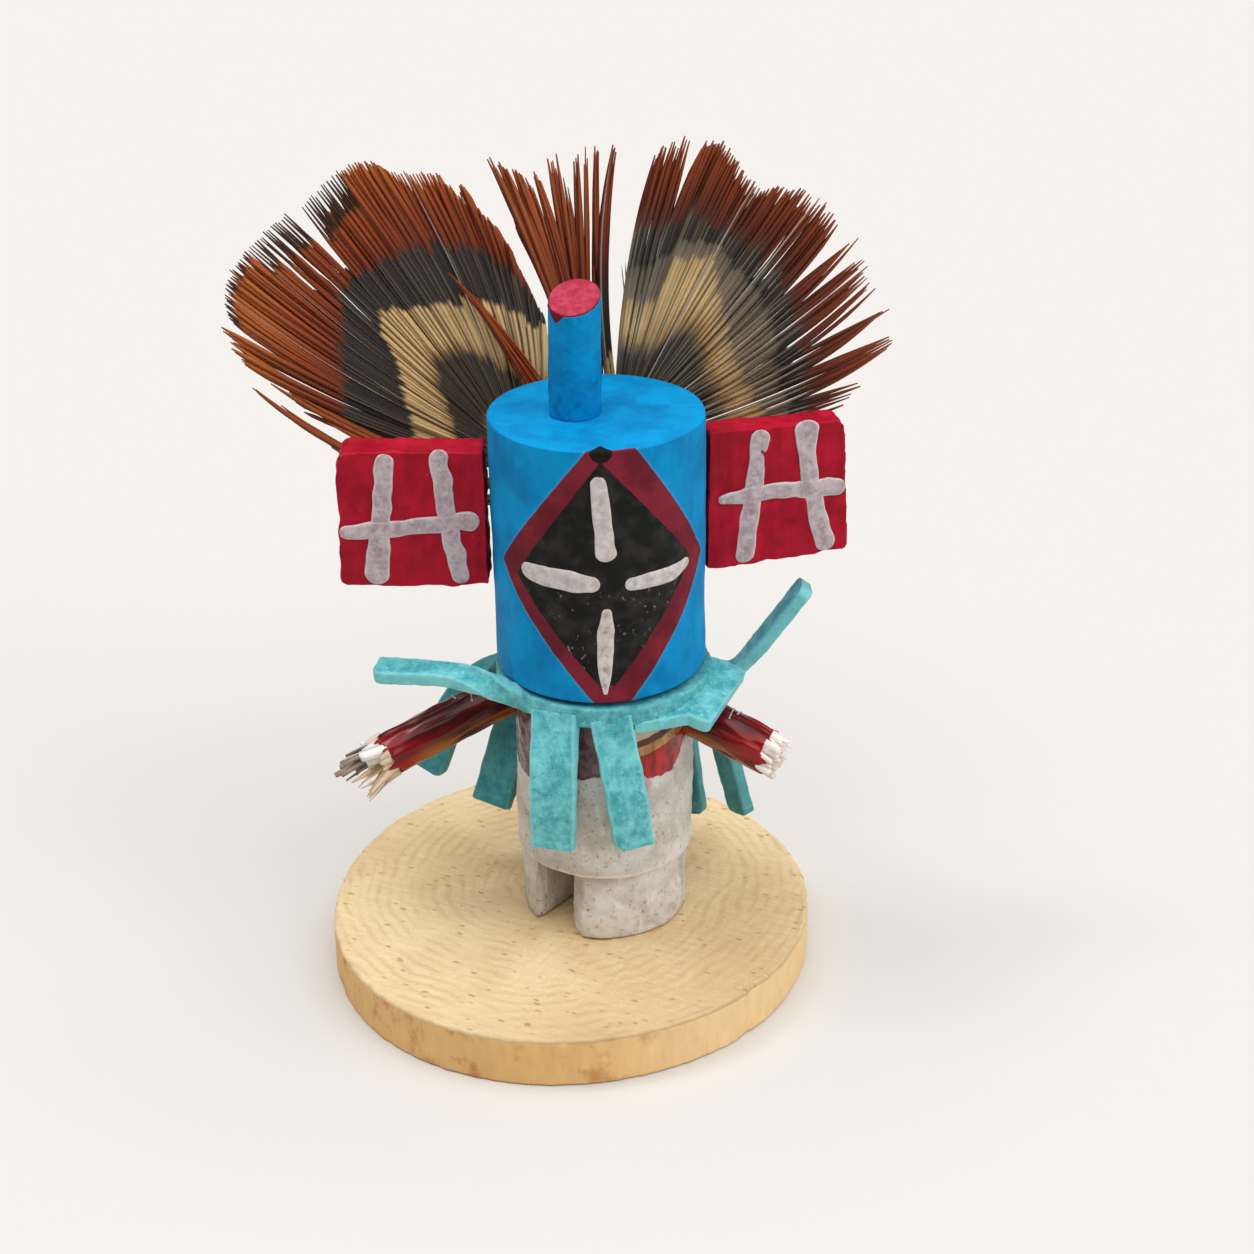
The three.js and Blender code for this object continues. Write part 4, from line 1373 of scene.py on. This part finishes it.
def barbs(shape, spec, clump, parting, read, rng):
    """One clump of barbs, fanned from the hidden shaft to tips that lie along the clump's own line."""
    root = np.array(spec["root"], float)
    axis = unit(spec["axis"])
    count = clump["count"]
    line = np.array(clump["tips"], float)
    reach = distances_along(line)[-1]
    share = np.linspace(0, 1, count)
    if count > 3:
        share = np.clip(share + rng.normal(size=count) * (0.1 if "teeth" in clump else 0.3) / count, 0, 1)
    tips = places_along(line, share * reach)
    heading = math.atan2(axis[0], axis[1])
    direction = np.arctan2(tips[:, 0] - root[0], tips[:, 1] - root[1])
    shift = np.interp(direction, *parting) - direction if parting else np.zeros(count)
    spray = direction + shift - heading
    climb = 1 - np.clip(np.abs(spray) / WIDEST_LEAN, 0, 1) + rng.normal(size=count) * 0.03
    start = root + axis * climb[:, None] * spec["stem"]
    start = start + np.array([axis[1], -axis[0]]) * np.sin(spray)[:, None] * 0.8
    if "start" in clump:
        start = np.array(clump["start"]) + rng.normal(size=(count, 2)) * START_SPREAD
    away = tips - start
    length = np.linalg.norm(away, axis=1)
    tips = tips + away / length[:, None] * rng.normal(size=(count, 1)) * clump.get("ragged", RAGGED)
    away = tips - start
    length = np.linalg.norm(away, axis=1)
    lean = np.arctan2(away[:, 0], away[:, 1]) - heading
    bow = clump.get("bow", spec["bow"] * np.clip(spray / FULL_BOW, -1, 1)) + rng.normal(size=count) * 0.02
    first = heading + lean + bow
    final = heading + lean - bow
    p1 = start + np.stack([np.sin(first), np.cos(first)], -1) * (length / 3)[:, None]
    p2 = tips - np.stack([np.sin(final), np.cos(final)], -1) * (length / 3)[:, None]
    p1 = turned(p1, root, shift)
    p2 = turned(p2, root, 1.1 * shift)
    t = np.linspace(0, 1, BARB_RINGS)[None, :, None]
    centre = ((1 - t) ** 3 * start[:, None] + 3 * t * (1 - t) ** 2 * p1[:, None]
              + 3 * t * t * (1 - t) * p2[:, None] + t**3 * tips[:, None])
    along = unit(np.gradient(centre, axis=1))
    to_tip = length[:, None] * (1 - t[..., 0])
    slimmer = np.clip(to_tip / clump.get("taper", TIP_TAPER), 0.1, 1) ** 0.6
    if "teeth" in clump:
        teeth = clump["teeth"]
        slimmer = np.minimum(slimmer, 0.5 + 0.5 * smoothstep(to_tip, teeth, teeth + 1.0))
    wide = clump.get("width", BARB_WIDTH) * rng.uniform(0.75, 1.2, (count, 1)) * slimmer
    wide = wide * (0.5 + 0.5 * smoothstep(t[..., 0], 0.0, 0.6))
    depth = spec["depth"] + clump.get("forward", 0.0) + rng.uniform(-0.14, 0.14, (count, 1))
    depth = depth + 0.1 * rng.normal(size=(count, 1)) * t[..., 0] ** 2
    side = np.stack([along[..., 1], -along[..., 0]], -1) * (wide / 2)[..., None]
    left, right = centre - side, centre + side
    points = np.stack([
        np.stack([left[..., 0], depth, left[..., 1]], -1),
        np.stack([right[..., 0], depth, right[..., 1]], -1),
        np.stack([centre[..., 0], depth - BARB_THICKNESS, centre[..., 1]], -1),
    ], 2)
    drift = waves(share[:, None] * reach, 3.0, int(rng.integers(1000)))[:, None]
    scatter = rng.normal(size=(count, 1)) * 0.14 + 0.2 * drift
    zone = read(centre[..., 0], centre[..., 1], scatter)
    if "zone" in clump:
        zone = np.full_like(zone, clump["zone"])
    fringe = to_tip - clump.get("fringe", -1.0) - rng.normal(size=(count, 1)) * 0.25
    tone = np.broadcast_to(rng.uniform(0, 1, (count, 1)), zone.shape)
    shape.append((points, zone, fringe, tone, to_tip))


def feather(name, node, spec, materials):
    rng = np.random.default_rng(spec["seed"])
    read = zone_reader(np.array(spec["root"], float), spec["borders"])
    made = []
    joins = partings(spec)
    for number, clump in enumerate(spec["clumps"]):
        barbs(made, spec, clump, joins.get(number), read, rng)
    points = np.concatenate([m[0] for m in made])
    count = len(points)
    per_barb = BARB_RINGS * 3
    ring = grid_faces(BARB_RINGS, 3, wrap=True)
    quads = (ring[None] + (np.arange(count) * per_barb)[:, None, None]).reshape(-1, 4)
    caps = np.array([[2, 1, 0], [per_barb - 3, per_barb - 2, per_barb - 1]])
    caps = (caps[None] + (np.arange(count) * per_barb)[:, None, None]).reshape(-1, 3)
    values = {}
    for key, index in (("zone", 1), ("fringe", 2), ("tone", 3), ("to_tip", 4)):
        values[key] = np.repeat(np.concatenate([m[index] for m in made])[..., None], 3, axis=2).ravel()
    values["edge"] = np.tile([1.0, 0.0, 0.0], count * BARB_RINGS)
    shape = Shape()
    shape.add(points.reshape(-1, 3), [quads, caps], 0, **values)
    quill(shape, spec)
    piece = add_piece(name, shape, materials, [node])
    unwrap_barbs(piece, count, per_barb)
    return piece


QUILL_SHARE = 12


def unwrap_barbs(piece, count, per_barb):
    """Lays the barbs side by side in the texture, and the quill in the columns left over.

    Across is which barb it is, up is along it.
    """
    mesh = piece.data
    vertex = np.empty(len(mesh.loops), np.int32)
    mesh.loops.foreach_get("vertex_index", vertex)
    barb = vertex // per_barb
    ring = (vertex % per_barb) // 3
    corner = np.array([0.1, 0.9, 0.5])[vertex % 3]
    columns = count + QUILL_SHARE
    across = (barb + corner) / columns
    up = ring / (BARB_RINGS - 1)
    rest = vertex >= count * per_barb
    spare = (vertex - count * per_barb) / max(1, len(mesh.vertices) - count * per_barb)
    across = np.where(rest, (count + 1 + (QUILL_SHARE - 2) * (spare * 37 % 1)) / columns, across)
    up = np.where(rest, spare, up)
    layer = mesh.uv_layers.new(name="OFBake")
    layer.data.foreach_set("uv", np.stack([across, up], -1).astype(np.float32).ravel())


QUILL_COLUMNS = 14
QUILL_RADIUS = 0.42
QUILL_BELOW_ROOT = 0.6
QUILL_BEHIND_VANE = 0.62


def quill(shape, spec):
    """The bare shaft: from the glue behind the head up into the vane, thinning to nothing."""
    root = np.array(spec["root"], float)
    axis = unit(spec["axis"])
    foot = root - axis * QUILL_BELOW_ROOT
    turn = full_turn(QUILL_COLUMNS)
    rings = []
    for t in np.linspace(0, 1, 26):
        centre = foot + axis * spec["shaft"] * t
        radius = QUILL_RADIUS * (1 - 0.8 * t) * (0.9 + 0.1 * math.cos(9 * t))
        depth = spec["depth"] + QUILL_BEHIND_VANE - 0.3 * (1 - t) ** 2
        across = np.array([axis[1], -axis[0]])
        x = centre[0] + across[0] * radius * np.cos(turn)
        z = centre[1] + across[1] * radius * np.cos(turn)
        rings.append(np.stack([x, depth + radius * np.sin(turn), z], -1))
    shape.tube(np.array(rings)[:, ::-1], 1)


def clump(count, tips, **looks):
    """A tuft of barbs whose tips lie along a line of (x, z) points."""
    return {"count": count, "tips": tips, **looks}


LEFT_FEATHER = {
    "seed": 81,
    "root": (-0.6, 41.5),
    "axis": (-0.63, 0.776),
    "depth": 10.8,
    "shaft": 19.0,
    "stem": 7.0,
    "bow": 0.17,
    "borders": [
        [(-9.5, 46.0), (-11.0, 50.5), (-12.6, 56.2), (-9.0, 57.2), (-6.2, 55.6), (-3.0, 53.6)],
        [(-14.0, 47.0), (-14.3, 49.8), (-15.2, 54.5), (-17.3, 60.4), (-13.0, 60.7), (-9.9, 61.3),
         (-5.2, 61.2), (-2.8, 59.2)],
        [(-20.4, 48.0), (-20.4, 53.1), (-20.4, 58.0), (-20.0, 62.6), (-17.0, 64.3), (-13.7, 66.1),
         (-10.9, 66.5), (-7.5, 66.2), (-5.1, 64.4), (-2.4, 60.6)],
    ],
    "clumps": [
        clump(13, [(-21.8, 46.8), (-24.3, 49.6), (-28.4, 53.0)], ragged=0.6, bow=-0.34,
              start=(-3.0, 41.6), taper=3.0, zone=3.3),
        clump(8, [(-21.5, 49.4), (-24.2, 52.0), (-26.7, 53.4)], ragged=0.5, bow=-0.19,
              start=(-3.0, 42.5), taper=3.0, zone=3.3),
        clump(13, [(-29.0, 55.0), (-30.6, 57.0), (-30.4, 58.6)], ragged=0.4, taper=2.2),
        clump(27, [(-30.1, 59.3), (-30.7, 60.6), (-30.5, 62.2), (-29.9, 64.2), (-28.4, 65.9)],
              fringe=0.8, teeth=0.6, ragged=0.1, taper=0.7, width=0.42),
        clump(18, [(-28.4, 65.9), (-26.6, 67.6), (-24.6, 69.3)], fringe=3.2, teeth=2.4, ragged=0.1,
              width=0.46, taper=0.8),
        clump(15, [(-23.1, 70.0), (-21.4, 71.6), (-19.8, 73.0)], fringe=3.4, teeth=2.2, ragged=0.1,
              width=0.46, taper=0.8),
        clump(22, [(-19.6, 73.1), (-18.2, 73.8), (-16.8, 74.0), (-15.5, 73.2)], ragged=0.1, taper=1.0),
        clump(16, [(-15.3, 72.9), (-13.9, 73.1), (-11.5, 73.0)], teeth=1.8, ragged=0.15, taper=1.6),
        clump(14, [(-11.3, 73.0), (-10.2, 71.8), (-8.5, 70.6)], ragged=0.2),
        clump(18, [(-8.2, 70.4), (-6.5, 68.8), (-5.0, 66.4)], ragged=0.2),
        clump(3, [(-9.3, 72.2), (-8.9, 72.0)], ragged=0.2, bow=0.26),
        clump(22, [(-4.8, 66.0), (-3.6, 63.0), (-2.2, 60.2)], ragged=0.3),
        clump(9, [(-2.2, 60.0), (-1.6, 56.0)], ragged=0.6),
        clump(34, [(-29.2, 58.6), (-28.8, 63.6), (-26.0, 65.0)], ragged=0.3, forward=0.45),
        clump(54, [(-21.6, 68.4), (-18.6, 71.4), (-14.6, 71.6), (-10.6, 70.6), (-5.4, 65.0)], ragged=0.4,
              forward=0.45),
        clump(14, [(-23.4, 62.0), (-20.0, 64.5)], ragged=0.4, forward=0.6),
        clump(14, [(-28.6, 56.0), (-23.0, 50.0)], ragged=0.6, forward=0.5),
        clump(15, [(-9.9, 63.5), (-8.8, 62.4), (-8.0, 62.0)], start=(-2.6, 52.6), zone=3.2, forward=-0.7,
              ragged=0.7, bow=0.08, taper=4.0, width=0.4),
    ],
}

RIGHT_FEATHER = {
    "seed": 83,
    "root": (1.5, 43.0),
    "axis": (0.494, 0.870),
    "depth": 10.8,
    "shaft": 21.0,
    "stem": 8.0,
    "bow": 0.16,
    "borders": [
        [(5.9, 57.6), (8.0, 57.4), (10.0, 59.0), (12.0, 59.8), (12.2, 58.0), (13.6, 54.5), (14.8, 51.5)],
        [(5.9, 61.2), (8.0, 61.2), (9.6, 65.4), (13.0, 65.8), (13.8, 60.6), (14.6, 57.0), (16.4, 53.0)],
        [(6.0, 64.2), (9.0, 65.8), (11.4, 67.1), (13.5, 66.6), (16.2, 63.6), (18.4, 60.4), (19.4, 57.6),
         (19.2, 54.0)],
        [(6.4, 68.0), (9.2, 68.6), (11.6, 69.0), (14.0, 67.6), (17.0, 65.9), (18.8, 63.4),
         (20.5, 60.5), (21.6, 56.0), (21.2, 53.0)],
    ],
    "clumps": [
        clump(2, [(5.0, 64.6), (5.3, 65.2)], ragged=0.4, width=0.1, start=(6.3, 54.0), bow=0.0),
        clump(5, [(7.9, 74.4), (8.6, 75.2)], ragged=0.6, taper=5.0),
        clump(10, [(8.6, 75.2), (9.4, 75.6), (10.9, 75.8)], ragged=0.3, taper=4.0),
        clump(14, [(12.0, 75.3), (12.5, 75.6), (13.6, 75.8)], ragged=0.2, taper=2.2),
        clump(20, [(13.7, 75.5), (14.8, 74.7), (15.8, 72.9), (16.8, 71.7)], ragged=0.2, taper=2.5),
        clump(20, [(16.9, 71.4), (18.9, 71.6), (20.9, 71.5)], ragged=0.2, taper=2.0),
        clump(15, [(20.9, 71.4), (22.2, 70.8), (23.2, 69.9), (24.3, 68.6)], ragged=0.3, taper=2.2),
        clump(5, [(24.8, 66.4), (25.4, 66.7)], ragged=0.4, taper=4.0),
        clump(14, [(26.0, 65.1), (26.6, 65.3), (26.9, 63.6), (27.0, 62.1)], ragged=0.4, taper=4.0),
        clump(6, [(28.5, 60.3), (28.9, 60.6)], ragged=0.4, taper=5.0),
        clump(7, [(29.3, 58.1), (29.2, 57.0)], ragged=0.4, taper=5.0),
        clump(5, [(24.7, 51.2), (26.6, 53.6)], ragged=0.5, taper=4.0),
        clump(70, [(7.6, 66.0), (13.0, 67.6), (17.0, 64.4), (19.2, 60.4), (20.4, 54.0)], ragged=0.5,
              forward=0.5, width=0.3),
        clump(34, [(13.6, 73.4), (16.6, 69.8), (20.6, 69.6), (22.6, 68.2)], ragged=0.4, forward=0.5,
              width=0.32),
    ],
}

MIDDLE_FEATHER = {
    "seed": 85,
    "root": (2.4, 43.0),
    "axis": (-0.03, 1.0),
    "depth": 12.1,
    "shaft": 20.0,
    "stem": 8.0,
    "bow": -0.17,
    "borders": [
        [(-4.0, 44.0), (1.0, 45.0), (2.4, 46.0), (3.8, 52.4), (6.0, 52.4)],
        [(-4.0, 45.0), (1.0, 46.0), (2.4, 48.0), (3.9, 56.2), (6.0, 56.2)],
        [(-4.0, 46.0), (1.0, 47.0), (2.3, 52.0), (3.6, 64.6), (6.0, 64.6)],
    ],
    "clumps": [
        clump(5, [(-6.8, 73.8), (-6.1, 73.2)], ragged=0.4, taper=5.0),
        clump(11, [(-5.9, 73.3), (-3.6, 72.6)], ragged=0.2, taper=2.2),
        clump(8, [(-3.4, 72.4), (-2.7, 72.6), (-2.0, 71.4)], ragged=0.4, taper=4.0),
        clump(5, [(-1.4, 73.0), (-0.6, 73.8)], ragged=0.4, taper=5.0),
        clump(5, [(-0.4, 71.4), (0.4, 70.2)], ragged=0.8, taper=4.0),
        clump(4, [(0.8, 74.0), (1.2, 74.1)], ragged=0.4, taper=6.0),
        clump(3, [(1.7, 74.1), (2.0, 74.2)], ragged=0.4, taper=6.0),
        clump(6, [(2.6, 74.6), (3.0, 74.7)], ragged=0.3, start=(3.9, 49.5), bow=-0.08, taper=7.0),
        clump(6, [(4.2, 74.6), (4.5, 74.7)], ragged=0.3, start=(4.7, 49.5), bow=-0.22, taper=7.0),
        clump(26, [(-4.6, 68.0), (-1.0, 66.0), (1.6, 66.0)], ragged=0.8, forward=0.4),
    ],
}


def gap_shade_and_light(colour):
    """The colour painted along a barb's side for the gap beside it: painted pale light showing through the
    gaps in dark grey parts, painted shade between barbs everywhere else.
    """
    shade = np.array(colour[:3])
    neutral = (shade.max() - shade.min()) / shade.max() < 0.72
    if neutral and shade[0] < 0.27:
        return tuple(0.35 * shade + 0.65 * np.array(srgb(176, 160, 132)[:3])) + (1.0,)
    return tuple(shade * 0.3) + (1.0,)


def feather_material(name, stops):
    """Barbs coloured by the zone they cross, with a fine line down one side of each: painted shade between
    barbs, and painted pale light through the gaps in dark grey parts.
    """
    g = Graph(name)
    tone = g.value("tone")
    zone = g.value("zone") / ZONES
    colour = g.ramp(zone, [(position / ZONES, shade) for position, shade in stops])
    patch = g.noise(6.0)
    colour = g.tint(colour, tone, 0.86, 1.12)
    colour = g.tint(colour, patch, 0.75, 1.3)
    # Painted shade between barbs, and painted light through the gaps in dark grey parts, laid along one side
    # of each barb.
    lines = g.ramp(zone, [(position / ZONES, gap_shade_and_light(shade)) for position, shade in stops])
    line = g.step(g.value("edge"), 0.15, 0.5)
    strength = 0.2 + g.noise(0.35, detail=0.0, vector=g.join(tone * 90.0, 0.0, 0.0)) * 0.9
    colour = g.mix(line * strength, colour, lines)
    fringe = g.step(g.value("fringe"), 0.35, -0.35)
    colour = g.mix(fringe * 0.9, colour, srgb(48, 38, 32))
    tip = g.step(g.value("to_tip"), 1.0, 0.0)
    colour = g.mix(tip * 0.3, colour, srgb(66, 38, 26))
    # Painted highlight: a few barbs get a pale line down one side, for the glint along single barbs.
    barb_glint = g.step(tone, 0.93, 0.94) * g.step(g.value("edge"), 0.35, 0.6)
    colour = g.mix(barb_glint * 0.8, colour, srgb(232, 212, 196))
    fine = g.noise(0.22, detail=2.0)
    return g.finish(colour, 0.5, fine, relief=0.02, Specular_IOR_Level=0.25)


def quill_material():
    g = Graph("quill")
    grain = g.noise(0.8, vector=g.stretch(1.0, 1.0, 0.4))
    colour = g.mix(grain, srgb(190, 160, 120), srgb(226, 206, 170))
    return g.finish(colour, 0.4, grain, relief=0.03)


TAN = srgb(226, 190, 132)
TAN_DEEP = srgb(200, 162, 106)
BLACK = srgb(54, 48, 44)
CHESTNUT = srgb(150, 66, 26)
CHESTNUT_LIGHT = srgb(184, 98, 42)
GREY = srgb(136, 120, 100)


def feathers():
    shaft = quill_material()
    left = feather_material("feather_left_barbs", [
        (0.0, srgb(104, 90, 70)), (0.3, TAN_DEEP), (0.55, TAN_DEEP), (0.62, srgb(84, 74, 62)),
        (0.94, srgb(74, 65, 56)), (1.02, TAN_DEEP), (1.2, TAN), (1.94, TAN), (2.03, BLACK),
        (2.93, srgb(46, 42, 40)), (3.03, srgb(128, 54, 27)), (3.2, CHESTNUT), (3.5, CHESTNUT_LIGHT),
        (3.9, CHESTNUT),
    ])
    right = feather_material("feather_right_barbs", [
        (0.0, srgb(112, 98, 78)), (0.5, srgb(92, 82, 68)), (0.9, srgb(80, 72, 62)), (1.03, TAN_DEEP),
        (1.4, TAN), (1.92, srgb(208, 174, 122)), (2.1, GREY), (2.85, srgb(112, 100, 86)), (3.03, BLACK),
        (3.85, BLACK), (4.1, srgb(110, 48, 27)), (4.4, CHESTNUT), (4.9, srgb(138, 64, 33)),
    ])
    middle = feather_material("feather_middle_barbs", [
        (0.0, srgb(50, 39, 34)), (0.95, srgb(60, 50, 43)), (1.05, TAN), (1.9, TAN), (2.05, BLACK),
        (2.9, srgb(64, 44, 36)), (3.1, srgb(104, 40, 24)), (3.6, srgb(148, 66, 34)),
        (3.98, srgb(160, 80, 42)),
    ])
    feather("feather_left_vane", "feather_left", LEFT_FEATHER, [left, shaft])
    feather("feather_right_vane", "feather_right", RIGHT_FEATHER, [right, shaft])
    feather("feather_middle_vane", "feather_middle", MIDDLE_FEATHER, [middle, shaft])


# ---------------------------------------------------------------- glue

THREAD_RADIUS = 0.05
THREAD_LIFT = 0.03


def thread(shape, points, radius, seed):
    """A thin pulled thread of glue, thicker at its two ends."""
    path = curve_through(points, 30)
    along = unit(np.gradient(path, axis=0))
    across = unit(np.cross(along, [0.3, 0.5, 0.8]))
    up = np.cross(along, across)
    turn = full_turn(8)
    share = np.linspace(0, 1, len(path))
    uneven = 1 + 0.15 * waves(share[:, None] * 10, 1.5, seed)
    thick = radius * (1 + 1.4 * np.abs(2 * share - 1) ** 6) * uneven
    rings = [path[i] + (np.cos(turn)[:, None] * across[i] + np.sin(turn)[:, None] * up[i]) * thick[i]
             for i in range(len(path))]
    shape.tube(np.array(rings))


def glue():
    """Pulled threads: one between the two front strips, the others crossing the arms near their roots."""
    shape = Shape()
    thread(shape, [(-0.3, -10.0, 16.9), (1.0, -9.4, 17.3), (3.6, -9.7, 18.4)], THREAD_RADIUS, 91)
    crossings = [("arm_left", -9.4, -0.55, 0.9, 2.1), ("arm_left", -8.2, 0.35, 1.5, 2.6),
                 ("arm_right", -5.2, 0.5, 0.7, 2.0), ("arm_right", -4.4, 0.2, 0.6, 1.5)]
    for number, (arm, distance, slant, low, high) in enumerate(crossings):
        end, along, across, up = arm_frame(ARMS[arm])
        path = []
        for a in np.linspace(low, high, 7):
            outwards = (across * math.cos(a) + up * math.sin(a)) * (ARM_RADIUS + THREAD_LIFT)
            path.append(end + along * (distance + slant * (a - low)) + outwards)
        thread(shape, path, THREAD_RADIUS, 93 + number)
    add_piece("glue_threads", shape, [glue_material()])


DAB_CENTRE = (2.2, 10.55, 43.4)
DAB_HALF_SIZE = (4.2, 1.15, 3.0)
DAB_COLUMNS = 60
DAB_ROWS = 40


def glue_dab():
    """The flattened dab behind the head that holds the three quills."""
    turn = full_turn(DAB_COLUMNS)
    rings = []
    for t in np.linspace(0.02, math.pi - 0.02, DAB_ROWS):
        wide = DAB_HALF_SIZE[0] * math.sin(t)
        x = DAB_CENTRE[0] + wide * np.cos(turn) * (1 + 0.1 * np.sin(3 * turn))
        y = np.full(DAB_COLUMNS, DAB_CENTRE[1] - DAB_HALF_SIZE[1] * math.cos(t))
        z = DAB_CENTRE[2] + DAB_HALF_SIZE[2] * math.sin(t) * np.sin(turn)
        rings.append(np.stack([x, y, z], -1))
    points = np.array(rings)
    points = points + 0.12 * waves(points, 2.0, 95)[..., None] * unit(points - points.mean((0, 1)))
    shape = Shape()
    shape.tube(points)
    add_piece("glue_dab", shape, [glue_material()])


def glue_material():
    g = Graph("clear_glue")
    cloud = g.noise(1.2)
    colour = g.mix(cloud, srgb(206, 196, 184), srgb(236, 230, 222))
    return g.finish(colour, 0.25, cloud, relief=0.05, Transmission_Weight=0.35)


# ---------------------------------------------------------------- floor, light and camera

CAMERA_TARGET = (5.476, 0.362, 33.84)
CAMERA_DISTANCE = 189.06
CAMERA_DOWN = math.radians(26.8)
CAMERA_LENS = 59.45
CAMERA_SENSOR = 36.0
FLOOR_HALF = 3.0
FLOOR_COLOUR = srgb(209, 206, 202)


def floor():
    mesh = bpy.data.meshes.new("floor")
    corners = [(x * FLOOR_HALF, y * FLOOR_HALF, 0) for x, y in ((-1, -1), (1, -1), (1, 1), (-1, 1))]
    mesh.from_pydata(corners, [], [(0, 1, 2, 3)])
    plane = bpy.data.objects.new("floor", mesh)
    bpy.context.scene.collection.objects.link(plane)
    g = Graph("floor")
    mesh.materials.append(g.finish(FLOOR_COLOUR, 0.9, Specular_IOR_Level=0.0))


def sun(name, towards_sun, strength, softness):
    lamp = bpy.data.lights.new(name, "SUN")
    lamp.energy = strength
    lamp.angle = math.radians(softness)
    light = bpy.data.objects.new(name, lamp)
    light.rotation_mode = "QUATERNION"
    light.rotation_quaternion = Vector(towards_sun).to_track_quat("Z", "Y")
    bpy.context.scene.collection.objects.link(light)


def lights():
    world = bpy.data.worlds.new("studio")
    world.use_nodes = True
    background = world.node_tree.nodes["Background"]
    background.inputs["Color"].default_value = srgb(247, 246, 244)
    background.inputs["Strength"].default_value = 0.12
    bpy.context.scene.world = world
    sun("overhead", (0.05, -0.1, 1.0), 3.35, 85)
    sun("key_left", (-0.5, 0.05, 0.86), 0.55, 16)
    sun("fill_right", (0.9, -0.4, 0.5), 0.85, 40)


def camera():
    data = bpy.data.cameras.new("camera")
    data.lens = CAMERA_LENS
    data.sensor_width = CAMERA_SENSOR
    data.clip_start = 0.01
    data.clip_end = 20.0
    viewer = bpy.data.objects.new("camera", data)
    back = Vector((0, -math.cos(CAMERA_DOWN), math.sin(CAMERA_DOWN)))
    viewer.location = (Vector(CAMERA_TARGET) + back * CAMERA_DISTANCE) * MM
    viewer.rotation_euler = (math.pi / 2 - CAMERA_DOWN, 0, 0)
    bpy.context.scene.collection.objects.link(viewer)
    bpy.context.scene.camera = viewer


# ---------------------------------------------------------------- assembly

camera()
lights()
floor()
wood_slice()
body()
head()
face_strokes()
horn()
side_tablets()
arms()
collar()
feathers()
glue()
glue_dab()

bpy.context.scene.view_settings.view_transform = "Standard"
